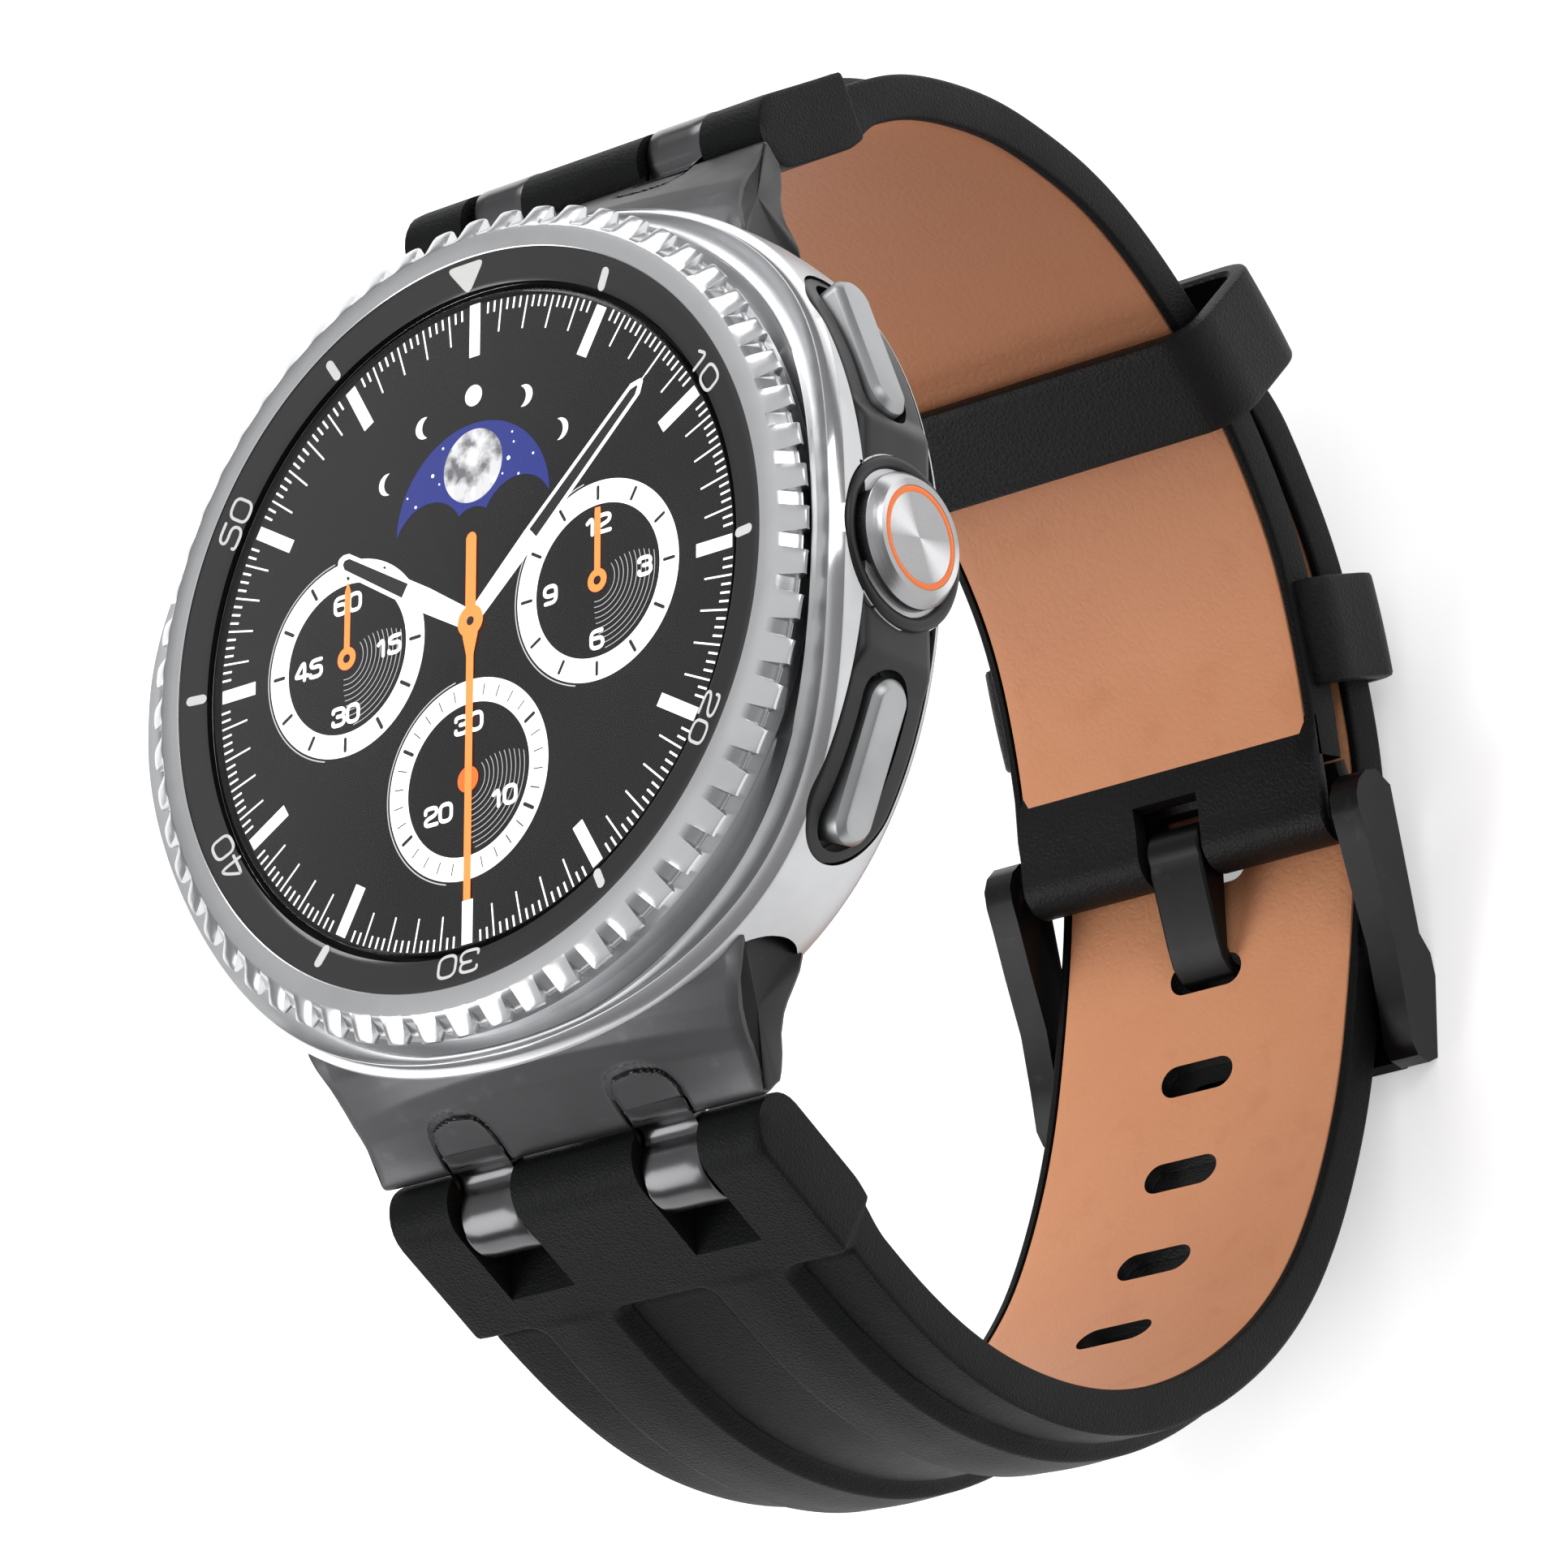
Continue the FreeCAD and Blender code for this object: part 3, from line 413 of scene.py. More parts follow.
    def gloss(self, factor, low, high, start=0.3, end=0.7):
        """Roughness from low to high as factor runs from start to end."""
        span = self.node("ShaderNodeMapRange", {"Value": factor, "From Min": start,
                                                "From Max": end, "To Min": low, "To Max": high})
        self.links.new(span.outputs[0], self.shader.inputs["Roughness"])
        return self

    def bump(self, height, depth, strength=1.0):
        """Relief of depth millimetres from a 0..1 height, added to any earlier relief."""
        made = self.node("ShaderNodeBump", {"Height": height, "Distance": depth * MM,
                                            "Strength": strength})
        if self.relief is not None:
            self.links.new(self.relief, made.inputs["Normal"])
        self.relief = made.outputs[0]
        self.links.new(self.relief, self.shader.inputs["Normal"])
        return self


def satin(name, colour, roughness, metallic=1.0, size=0.09, depth=0.0012, worn=None, **sockets):
    """Bead-blasted or coated metal: fine grain, faint cloudiness and handling marks."""
    mix = Recipe(name, colour, roughness, metallic, **sockets)
    grain = mix.noise(size, 2.0)
    cloud = mix.noise(6.0, 3.0)
    deep = tuple(channel * 0.86 for channel in colour)
    mix.tint(cloud, deep, 0.45, 0.75)
    if worn:
        mix.tint(mix.noise(1.4, 6.0), worn, 0.62, 0.9)
    mix.gloss(mix.sum(cloud, grain, 0.35), roughness * 0.86, roughness * 1.18, 0.4, 0.95)
    mix.bump(grain, depth)
    return mix


def leather(name, colour, pale, roughness, size, depth, **sockets):
    """Grained leather: pebbles, fine pores and soft pale mottling."""
    mix = Recipe(name, colour, roughness, 0.0, **sockets)
    grain = mix.pebble(size)
    pores = mix.noise(size * 0.3, 3.0)
    mottle = mix.noise(7.0, 4.0)
    mix.tint(mottle, pale, 0.4, 0.85)
    mix.gloss(mix.sum(mottle, pores, 0.4), roughness * 0.88, roughness * 1.15, 0.4, 1.0)
    mix.bump(mix.sum(grain, pores, 0.5), depth)
    return mix


def build_finishes():
    """Every finish on the watch, by name."""
    made = {}

    made["case"] = satin("satin_case_metal", (0.52, 0.525, 0.535), 0.42, size=0.07,
                         depth=0.0022).finish
    made["chamfer"] = satin("polished_chamfer_metal", (0.72, 0.72, 0.73), 0.13, size=0.3,
                            depth=0.0003).finish
    made["bezel"] = satin("brushed_bezel_metal", (0.60, 0.605, 0.615), 0.23, size=0.07,
                          depth=0.0014).finish
    made["button"] = satin("satin_button_metal", (0.34, 0.345, 0.352), 0.38, size=0.07,
                           depth=0.0018).finish

    spun = satin("spun_crown_metal_painted_highlight", (0.34, 0.34, 0.345), 0.26, size=0.07, depth=0.0005)
    around = spun.centred((0.0, 0.0, -5.7))
    parts = spun.node("ShaderNodeSeparateXYZ", {"Vector": around})
    radius = spun.node("ShaderNodeVectorMath", {0: spun.node("ShaderNodeCombineXYZ", {
        "Y": parts.outputs["Y"], "Z": parts.outputs["Z"]}).outputs[0]}, operation="LENGTH")
    rings = spun.node("ShaderNodeTexWave", {"Vector": spun.node("ShaderNodeCombineXYZ", {
        "X": radius.outputs["Value"]}).outputs[0], "Scale": 1.0 / (0.16 * MM) / 3.0,
        "Distortion": 1.5, "Detail": 2.0}, bands_direction="X")
    spun.bump(rings.outputs["Fac"], 0.002)
    # Painted highlight: the base colour swings between dark and a pale tint in sectors by angle
    # round the crown axis. This stands in for the bow-tie highlight of the spun finish.
    sector = spun.node("ShaderNodeMath", {0: parts.outputs["Y"], 1: parts.outputs["Z"]},
                       operation="ARCTAN2")
    swing = spun.node("ShaderNodeMath", {0: sector.outputs[0], 1: 2.0, 2: 0.6},
                      operation="MULTIPLY_ADD")
    painted_highlight_sectors = spun.node("ShaderNodeMath", {0: swing.outputs[0]}, operation="SINE")
    spun.tint(painted_highlight_sectors.outputs[0], (0.62, 0.62, 0.63), 0.15, 0.95)
    made["spun"] = spun.finish

    insert = satin("gloss_bezel_insert", (0.008, 0.008, 0.0085), 0.20, 0.0, size=0.3,
                   depth=0.0003, Coat_Weight=0.4, Coat_Roughness=0.06)
    made["insert"] = insert.finish
    made["guard"] = satin("satin_guard_coat", (0.004, 0.004, 0.0043), 0.36, 0.0, size=0.1,
                          depth=0.0016, worn=(0.007, 0.007, 0.0072),
                          Specular_IOR_Level=0.35).finish
    made["link"] = satin("blasted_link_metal", (0.085, 0.085, 0.088), 0.42, 1.0, size=0.10,
                         depth=0.0035, worn=(0.12, 0.12, 0.125)).finish
    made["hook"] = satin("glossy_hook_metal", (0.10, 0.10, 0.103), 0.24, 1.0, size=0.12,
                         depth=0.0006).finish
    made["buckle"] = satin("coated_buckle_metal", (0.011, 0.011, 0.0115), 0.36, 0.7, size=0.1,
                           depth=0.0016, worn=(0.034, 0.034, 0.035),
                           Specular_IOR_Level=0.4).finish
    made["pin"] = satin("turned_pin_steel", (0.42, 0.42, 0.43), 0.28).finish
    made["orange"] = satin("orange_inlay", (0.86, 0.17, 0.01), 0.42, 0.0, depth=0.0006).finish

    hide = leather("black_strap_leather", (0.0044, 0.0050, 0.0047), (0.0070, 0.0080, 0.0075),
                   0.50, 0.26, 0.016, Specular_IOR_Level=0.10)
    panel = hide.mark("panel")
    hide.tint(panel, (0.0042, 0.0044, 0.0046))
    made["leather"] = hide.finish
    made["loop_leather"] = leather("black_loop_leather", (0.0045, 0.0045, 0.0046),
                                   (0.0075, 0.0075, 0.0077), 0.48, 0.34, 0.016,
                                   Specular_IOR_Level=0.16).finish
    tan = leather("tan_lining_leather_painted_shade", (0.66, 0.29, 0.145), (0.70, 0.325, 0.170), 0.55, 0.55,
                  0.016, Specular_IOR_Level=0.3)
    tan.tint(tan.noise(2.6, 5.0), (0.58, 0.235, 0.11), 0.55, 0.95)
    # Painted shade: the lining darkens towards 12 o'clock, from 14 to 38 mm above the dial centre.
    # This stands in for shade, not a colour of the leather.
    height = tan.node("ShaderNodeSeparateXYZ", {"Vector": tan.centred()})
    tan.tint(height.outputs["Y"], (0.30, 0.115, 0.052), 0.014, 0.038)
    made["tan"] = tan.finish

    face = Recipe("dark_display_face", (0.011, 0.011, 0.0115), 0.5, 0.0,
                  Specular_IOR_Level=0.3)
    face.tint(face.noise(5.0, 4.0), (0.013, 0.013, 0.0135), 0.3, 0.8)
    face.bump(face.noise(0.05, 1.0), 0.0004)
    made["face"] = face.finish
    made["lit_white"] = lit("lit_white_marks", (0.93, 0.93, 0.93), 0.82)
    made["lit_grey"] = lit("lit_grey_marks", (0.50, 0.50, 0.51), 0.40)
    made["lit_pale"] = lit("lit_pale_marks", (0.72, 0.72, 0.73), 0.60)
    made["lit_black"] = lit("unlit_black_marks", (0.012, 0.012, 0.013), 0.0)
    made["lit_orange"] = lit("lit_orange_marks", (1.0, 0.235, 0.050), 0.85)
    made["lit_deep_orange"] = lit("lit_deep_orange_marks", (0.95, 0.13, 0.016), 0.8)
    made["lit_blue"] = lit("lit_night_sky", (0.014, 0.024, 0.19), 0.50)
    # Painted glow: the bezel numerals are printed, not lit, yet get a faint emission of 0.10 that
    # brightens them.
    made["bezel_print"] = lit("bezel_numerals_print_painted_glow", (0.62, 0.62, 0.61), 0.10)
    made["moon"] = moon_finish()
    made["glass"] = glass_finish()

    made["gloss_back"] = satin("gloss_back_ceramic", (0.012, 0.012, 0.013), 0.12, 0.0, size=0.4,
                               depth=0.0002, Coat_Weight=0.5).finish
    made["lens"] = satin("dark_sensor_lens", (0.006, 0.006, 0.009), 0.06, 0.0, size=0.5,
                         depth=0.0001, Coat_Weight=1.0).finish
    made["plastic"] = satin("moulded_frame_plastic", (0.02, 0.02, 0.02), 0.55, 0.0,
                            depth=0.002).finish
    made["board"] = satin("green_circuit_board", (0.01, 0.09, 0.035), 0.4, 0.0).finish
    made["rubber"] = satin("soft_seal_rubber", (0.012, 0.012, 0.012), 0.7, 0.0).finish
    made["copper"] = satin("wound_copper", (0.62, 0.24, 0.10), 0.35, 1.0, size=0.15,
                           depth=0.004).finish
    made["ferrite"] = satin("ferrite_film", (0.05, 0.05, 0.055), 0.6, 0.0).finish
    made["aluminium"] = satin("plain_aluminium", (0.6, 0.6, 0.61), 0.35, 1.0).finish
    return made


def lit(name, colour, glow):
    """Lit display mark: a matt colour that also shines, faintly uneven."""
    mix = Recipe(name, colour, 0.6, 0.0)
    mix.shader.inputs["Emission Color"].default_value = (*colour, 1.0)
    mix.shader.inputs["Emission Strength"].default_value = glow
    mix.tint(mix.noise(0.4, 2.0), tuple(channel * 0.96 for channel in colour), 0.4, 0.8)
    return mix.finish


def moon_finish():
    """Grey moon: pale highlands, dark seas and small craters."""
    mix = Recipe("moon_picture", (0.60, 0.60, 0.61), 0.6, 0.0)
    mix.tint(mix.noise(1.5, 6.0), (0.13, 0.13, 0.14), 0.46, 0.60)
    craters = mix.node("ShaderNodeTexVoronoi", {"Vector": mix.where, "Scale": 1.0 / (0.8 * MM)},
                       feature="SMOOTH_F1")
    mix.tint(craters.outputs["Distance"], (0.85, 0.85, 0.86), 0.50, 0.75)
    colour = mix.shader.inputs["Base Color"].links[0].from_socket
    mix.links.new(colour, mix.shader.inputs["Emission Color"])
    mix.shader.inputs["Emission Strength"].default_value = 0.45
    return mix.finish


def glass_finish():
    """Clear cover: lets the display through unbent and adds a faint reflection."""
    finish = bpy.data.materials.new("clear_cover_glass")
    finish.use_nodes = True
    nodes, links = finish.node_tree.nodes, finish.node_tree.links
    nodes.remove(nodes["Principled BSDF"])
    clear = nodes.new("ShaderNodeBsdfTransparent")
    shine = nodes.new("ShaderNodeBsdfGlossy")
    shine.inputs["Roughness"].default_value = 0.03
    facing = nodes.new("ShaderNodeLayerWeight")
    facing.inputs["Blend"].default_value = 0.5
    edge = nodes.new("ShaderNodeMapRange")
    edge.inputs["From Min"].default_value = 0.3
    edge.inputs["To Min"].default_value = 0.005
    edge.inputs["To Max"].default_value = 0.30
    links.new(facing.outputs["Facing"], edge.inputs["Value"])
    where = nodes.new("ShaderNodeTexCoord")
    smear = nodes.new("ShaderNodeTexNoise")
    smear.inputs["Scale"].default_value = 1.0 / (4.0 * MM)
    wave = nodes.new("ShaderNodeBump")
    wave.inputs["Distance"].default_value = 0.00001
    wave.inputs["Strength"].default_value = 0.2
    blend = nodes.new("ShaderNodeMixShader")
    links.new(where.outputs["Object"], smear.inputs["Vector"])
    links.new(smear.outputs["Fac"], wave.inputs["Height"])
    links.new(wave.outputs[0], shine.inputs["Normal"])
    links.new(edge.outputs[0], blend.inputs[0])
    links.new(clear.outputs[0], blend.inputs[1])
    links.new(shine.outputs[0], blend.inputs[2])
    links.new(blend.outputs[0], nodes["Material Output"].inputs["Surface"])
    return finish


FINISH = build_finishes()


# ------------------------------------------------------------ display artwork
FACE = -0.148
PRINT = 0.010


def layer(number):
    """Low and high face of a printed layer on the display."""
    return FACE + number * PRINT, FACE + number * PRINT + PRINT * 0.9


UNIT = 1.12
SUBDIALS = {"left": (-7.40 * UNIT, 0.04 * UNIT), "right": (7.36 * UNIT, 0.07 * UNIT),
            "lower": (-0.04 * UNIT, -7.40 * UNIT)}
RING_OUT, RING_IN = 4.64 * UNIT, 3.55 * UNIT
HOUR_HAND, MINUTE_HAND = 148.6, 41.9


def hour_marks():
    """Hour bars and minute ticks round the edge of the display."""
    marks = Prints()
    low, high = layer(0)
    for hour in range(12):
        angle = 90.0 - 30.0 * hour
        start = 12.98 if hour in (3, 6, 9) else 12.62
        end = 15.15 if hour == 0 else 15.0
        marks.bar(angle, start * UNIT, end * UNIT, 0.62 * UNIT, low, high)
        for quarter in range(1, 20):
            turn = angle - 1.5 * quarter
            if quarter % 4 == 0:
                marks.bar(turn, 13.52 * UNIT, 15.05 * UNIT, 0.085 * UNIT, low, high)
            elif quarter not in (1, 19):
                marks.bar(turn, 14.52 * UNIT, 15.05 * UNIT, 0.10 * UNIT, low, high)
    marks.piece("hour_marks", "watch", FINISH["lit_white"], "display")


def subdials():
    """Three ringed sub-dials with their ticks, numerals and arcs."""
    white, pale, grey, black = Prints(), Prints(), Prints(), Prints()
    for centre in SUBDIALS.values():
        low, high = layer(0)
        white.ring(centre, RING_OUT, RING_IN, low, high, count=128)
        grey.ring(centre, RING_OUT + 0.16 * UNIT, RING_OUT + 0.10 * UNIT, low, high, 100, 255, 64)
        low, high = layer(1)
        pale.ring(centre, RING_OUT - 0.10 * UNIT, RING_IN + 0.08 * UNIT, low, high, -62, -8, 48)
        for step in range(10):
            grey.ring(centre, (1.0 + 0.255 * step) * UNIT, (0.965 + 0.255 * step) * UNIT,
                      low, high, -100 + 2.0 * step, 38 - 3.0 * step, 40)
    low, high = layer(2)
    middle = (RING_OUT + RING_IN) / 2
    tick_in, tick_out = middle - 0.30, middle + 0.30
    for hour in range(12):
        black.stroke(radial(SUBDIALS["right"], 30 * hour, tick_in, tick_out), 0.17, low, high)
    for minute in range(60):
        angle = 6 * minute
        if minute % 5 == 0:
            black.stroke(radial(SUBDIALS["left"], angle, tick_in, tick_out), 0.19, low, high)
        else:
            pale.bar(angle, middle - 0.36, middle + 0.36, 0.17, low, high, SUBDIALS["left"])
    for minute in range(30):
        angle = 90 - 12 * minute
        if minute % 5 == 0:
            black.stroke(radial(SUBDIALS["lower"], angle, tick_in, tick_out), 0.19, low, high)
        else:
            black.bar(angle, tick_in, tick_out, 0.055, low, high, SUBDIALS["lower"])
    words = [("left", "60", 0.0, 2.62), ("left", "15", 2.55, 0.0), ("left", "30", 0.0, -2.68),
             ("left", "45", -2.30, 0.0), ("right", "12", 0.05, 2.60), ("right", "3", 2.72, 0.0),
             ("right", "6", 0.0, -2.75), ("right", "9", -2.72, 0.0), ("lower", "30", 0.0, 2.62),
             ("lower", "10", 2.15, -1.25), ("lower", "20", -1.72, -1.25)]
    for dial, word, across, up in words:
        place = (SUBDIALS[dial][0] + across * UNIT, SUBDIALS[dial][1] + up * UNIT)
        white.text(word, place, 0.78 * UNIT, 0.86 * UNIT, 0.19 * UNIT, low, high)
    white.piece("subdial_rings", "watch", FINISH["lit_white"], "display")
    pale.piece("subdial_shading", "watch", FINISH["lit_pale"], "display")
    grey.piece("subdial_arcs", "watch", FINISH["lit_grey"], "display")
    black.piece("subdial_ticks", "watch", FINISH["lit_black"], "display")


def units(*pairs):
    """Pairs of display units in millimetres."""
    return [(first * UNIT, second * UNIT) for first, second in pairs]


def radial(centre, angle, start, end):
    """Two points on a ray from centre."""
    along = ray(angle)
    return np.array([np.array(centre) + along * start, np.array(centre) + along * end])


def small_hands():
    """Orange hands of the sub-dials."""
    hands = Prints()
    low, high = layer(3)
    for name, tip in (("left", 3.62), ("right", 3.42)):
        centre = SUBDIALS[name]
        sharp = 0.02 if name == "left" else 0.15
        hands.blade(90, units((0.3, 0.17), (3.2, 0.17), (tip, sharp)), low, high, centre)
        hands.ring(centre, 0.54 * UNIT, 0.21 * UNIT, low, high + 0.001, count=40)
    hands.piece("subdial_hands", "watch", FINISH["lit_orange"], "display")
    hub = Prints()
    hub.dot(SUBDIALS["lower"], 0.60 * UNIT, *layer(3))
    hub.piece("subdial_hub", "watch", FINISH["lit_deep_orange"], "display")


def main_hands():
    """White hour and minute hands with dark windows, and the orange seconds hand."""
    white, dark, orange = Prints(), Prints(), Prints()
    low, high = layer(4)
    white.blade(HOUR_HAND, units((0.0, 0.45), (3.2, 0.56), (8.9, 0.47), (9.20, 0.30),
                                 (9.34, 0.08)), low, high)
    white.blade(MINUTE_HAND, units((0.0, 0.40), (4.6, 0.50), (12.75, 0.40), (13.25, 0.10)),
                low, high)
    white.bar(MINUTE_HAND, 13.2 * UNIT, 15.0 * UNIT, 0.06 * UNIT, low, high)
    low, high = layer(5)
    dark.blade(HOUR_HAND, units((4.62, 0.34), (8.75, 0.27), (8.98, 0.10)), low, high)
    dark.blade(MINUTE_HAND, units((4.85, 0.30), (12.55, 0.21), (12.9, 0.04)), low, high)
    low, high = layer(6)
    orange.blade(90, units((-13.0, 0.20), (-1.6, 0.21), (-0.75, 0.42), (-0.2, 0.5)), low, high)
    orange.blade(90, units((0.4, 0.30), (3.95, 0.30), (4.13, 0.20), (4.2, 0.05)), low, high)
    orange.ring((0, 0), 0.74 * UNIT, 0.20 * UNIT, low, high + 0.001, count=48)
    dark.dot((0, 0), 0.21 * UNIT, *layer(7), count=24)
    white.piece("main_hands", "watch", FINISH["lit_white"], "display")
    dark.piece("hand_windows", "watch", FINISH["lit_black"], "display")
    orange.piece("seconds_hand", "watch", FINISH["lit_orange"], "display")


def crescent(centre, radius, bite, shift):
    """Closed crescent: a circle less an equal or larger circle moved sideways."""
    turn = np.linspace(0, 1, 25)
    side, shift = (1.0 if shift > 0 else -1.0), abs(shift)
    corner = lambda own, other: math.acos(max(-1.0, min(1.0, (
        shift ** 2 + own ** 2 - other ** 2) / (2 * shift * own))))
    cut, near = corner(radius, bite), corner(bite, radius)
    outer = cut + (2 * math.pi - 2 * cut) * turn
    inner = math.pi + near - 2 * near * turn
    rim = np.column_stack([side * radius * np.cos(outer), radius * np.sin(outer)])
    hollow = np.column_stack([side * (shift + bite * np.cos(inner)), -bite * np.sin(inner)])
    return np.array(centre) + rim, np.array(centre) + hollow


def moon_window():
    """Scalloped night-sky window with the moon, small stars and the phase marks."""
    sky, stars, moon, marks = Prints(), Prints(), Prints(), Prints()
    low, high = layer(0)
    across = np.concatenate([np.linspace(-4.5, -0.8, 34), np.linspace(-0.8, 0.8, 17)[1:],
                             np.linspace(0.8, 4.5, 34)[1:]])
    top = 4.85 + np.sqrt(np.maximum(4.55 ** 2 - across ** 2, 0.0))
    side = 4.15 + np.sqrt(np.maximum(2.08 ** 2 - (np.abs(across) - 2.62) ** 2, 0.0))
    middle = 4.05 + np.sqrt(np.maximum(1.36 ** 2 - across ** 2, 0.0))
    under = np.where(np.abs(across) > 0.8, side, middle)
    under = np.minimum(under, top - 0.01)
    sky.plate(np.column_stack([across, top]) * UNIT, np.column_stack([across, under]) * UNIT,
              low, high)
    sky.piece("night_sky", "watch", FINISH["lit_blue"], "display")
    low, high = layer(1)
    moon.dot((0.0, 7.38 * UNIT), 1.73 * UNIT, low, high, 72)
    moon.piece("moon_disc", "watch", FINISH["moon"], "display")
    for x, y, size in ((-2.4, 7.5, 0.09), (-1.8, 8.66, 0.06), (-3.9, 6.8, 0.05),
                       (-3.4, 6.26, 0.07), (2.1, 7.2, 0.10), (2.3, 8.4, 0.05), (2.4, 7.9, 0.05),
                       (3.55, 7.05, 0.06), (2.7, 6.3, 0.06), (1.75, 6.55, 0.05), (-2.0, 7.0, 0.05)):
        stars.dot((x * UNIT, y * UNIT), size * UNIT, low, high, 12)
    marks.dot((-0.03 * UNIT, 10.75 * UNIT), 0.50 * UNIT, *layer(0))
    for x, y, shift in ((-2.95, 9.95, 0.42), (2.95, 9.95, -0.42), (-5.12, 7.8, 0.34),
                        (5.06, 7.8, -0.34)):
        rim, hollow = crescent((x * UNIT, y * UNIT), 0.52 * UNIT, 0.56 * UNIT, shift * UNIT)
        marks.plate(rim, hollow, *layer(0))
    stars.piece("sky_stars", "watch", FINISH["lit_white"], "display")
    marks.piece("phase_marks", "watch", FINISH["lit_white"], "display")


def cover_glass():
    """Clear cover: flat top with a rounded edge, as a closed lens over the display."""
    profile = [(0.0005, 0.0), (17.05, 0.0), (17.10, 0.06), (17.10, 0.20), (17.0, 0.30),
               (16.8, 0.345), (0.0005, COVER_TOP)]
    count = 192
    points, faces = lathe(profile, count)
    points = np.vstack([points, [0, 0, 0.0], [0, 0, COVER_TOP]])
    faces = [list(face) for face in faces[:-count]]
    last = (len(profile) - 1) * count
    for step in range(count):
        following = (step + 1) % count
        faces.append([len(points) - 2, following, step])
        faces.append([len(points) - 1, last + step, last + following])
    glass = piece("cover_glass", points, faces, "watch", FINISH["glass"], "cover_glass", 50.0)
    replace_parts(glass, "display_cover")


hour_marks()
subdials()
small_hands()
main_hands()
moon_window()
cover_glass()


# ------------------------------------------------------------- rotating bezel
INSERT_IN, INSERT_OUT = 17.45, 19.12
INSERT_LOW, INSERT_HIGH = 0.37, 0.655
BEZEL_INK = 0.012
TEETH = 60


def insert_height(radius):
    """Height of the insert's sloping face."""
    return INSERT_LOW + (radius - INSERT_IN) * (INSERT_HIGH - INSERT_LOW) / (INSERT_OUT - INSERT_IN)


def bezel_insert():
    """Black insert with a crowned sloping face and softened edges."""
    across = np.linspace(0, 1, 13)
    radius = INSERT_IN + (INSERT_OUT - INSERT_IN) * across
    height = insert_height(radius) - 0.055 * np.abs(2 * across - 1) ** 8
    face = np.column_stack([radius, height])
    under = np.array([[INSERT_OUT, 0.24], [INSERT_IN, -0.06]])
    points, faces = lathe(np.vstack([face, under]), 360)
    insert = piece("insert_face", points, faces, "bezel", FINISH["insert"], "bezel_black")
    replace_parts(insert, "bezel_insert")


def bezel_print():
    """Minute numerals, rounded pips and the pointer at 12, laid on the insert."""
    marks = Prints()
    for hour, word in ((2, "10"), (4, "20"), (6, "30"), (8, "40"), (10, "50")):
        angle = 90 - 30 * hour
        middle = 16.06 * UNIT
        place = (middle * math.cos(math.radians(angle)), middle * math.sin(math.radians(angle)))
        marks.text(word, place, 1.02 * UNIT, 1.28 * UNIT, 0.145 * UNIT, 0.0, BEZEL_INK, angle - 90)
    for hour in (1, 3, 5, 7, 9, 11):
        angle = 90 - 30 * hour
        marks.stroke(radial((0, 0), angle, 15.78 * UNIT, 16.42 * UNIT), 0.44 * UNIT, 0.0,
                     BEZEL_INK)
    corners = [(-1.14 * UNIT, 16.86 * UNIT), (1.14 * UNIT, 16.86 * UNIT), (0, 15.42 * UNIT)]
    marks.shape(rounded(corners, 0.42 * UNIT, True), 0.0, BEZEL_INK)
    marks.piece("bezel_numerals", "bezel", FINISH["bezel_print"], "bezel_black",
                lambda points: insert_height(np.hypot(points[:, 0], points[:, 1])) + 0.002)


def bezel_ring():
    """Toothed ring: gabled teeth that taper outwards, over a smooth skirt.

    Each row of the grid is a station of the profile, from the insert's seat over the rim
    and down the outside.  A column on a tooth follows the tooth's sloping ridge, lowered in
    proportion to its distance from the ridge line; a column between teeth follows the floor.
    """
    offsets = np.array([-3.0, -2.5, -2.02, -1.84, -1.2, -0.5, -0.12, 0.12, 0.5, 1.2, 1.84, 2.02,
                        2.5])
    on_tooth = np.abs(offsets) < 1.9
    share = np.clip(np.abs(offsets) / 1.84, 0, 1)
    tooth = [(20.28, 0.655), (20.42, 0.60), (20.72, 0.44), (21.10, 0.22), (21.42, 0.02),
             (21.50, -0.06), (21.50, -0.26), (21.40, -0.36), (21.06, -0.42)]
    floor = [(20.28, 0.655), (20.42, 0.54), (20.56, 0.34), (20.72, 0.10), (20.86, -0.10),
             (20.93, -0.18), (20.97, -0.30), (21.01, -0.38), (21.04, -0.41)]
    lower = [0.0, 0.05, 0.08, 0.09, 0.09, 0.08, 0.06, 0.03, 0.0]
    taper = [1.08, 1.07, 1.02, 0.95, 0.88, 0.86, 0.86, 0.86, 0.86]
    before = [(19.14, 0.20), (19.14, 0.64), (19.19, 0.68), (19.55, 0.69), (20.20, 0.675)]
    after = [(21.02, -0.50), (21.02, -1.38), (20.96, -1.46), (17.50, -1.46), (17.47, -0.12)]
    centre = 2 * math.pi * np.arange(TEETH) / TEETH
    rows = []

    def row(radius, height, squeeze):
        """Add one profile station, its columns drawn towards the ridges by squeeze."""
        turn = np.radians(offsets * squeeze)[None, :] + centre[:, None]
        radius = np.broadcast_to(radius, turn.shape)
        height = np.broadcast_to(height, turn.shape)
        rows.append(np.stack([radius * np.cos(turn), radius * np.sin(turn), height],
                             -1).reshape(-1, 3))

    for radius, height in before:
        row(radius, height, np.ones_like(offsets))
    for (r1, z1), (r0, z0), drop, squeeze in zip(tooth, floor, lower, taper):
        edge = share ** 4
        radius = np.where(on_tooth, r1 - 0.3 * edge * drop, r0)
        height = np.where(on_tooth, z1 - drop * edge, z0)
        row(radius, height, np.where(on_tooth, squeeze, 1.0))
    for radius, height in after:
        row(radius, height, np.ones_like(offsets))
    points = np.vstack(rows)
    faces = grid(len(rows), TEETH * len(offsets), True, True)
    ring = piece("toothed_ring", points, faces, "bezel", FINISH["bezel"], "satin_metal", 24.0)
    rounded_edges(ring, 0.03, 2, 32.0)
    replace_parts(ring, "bezel_ring")


bezel_insert()
bezel_ring()
bezel_print()


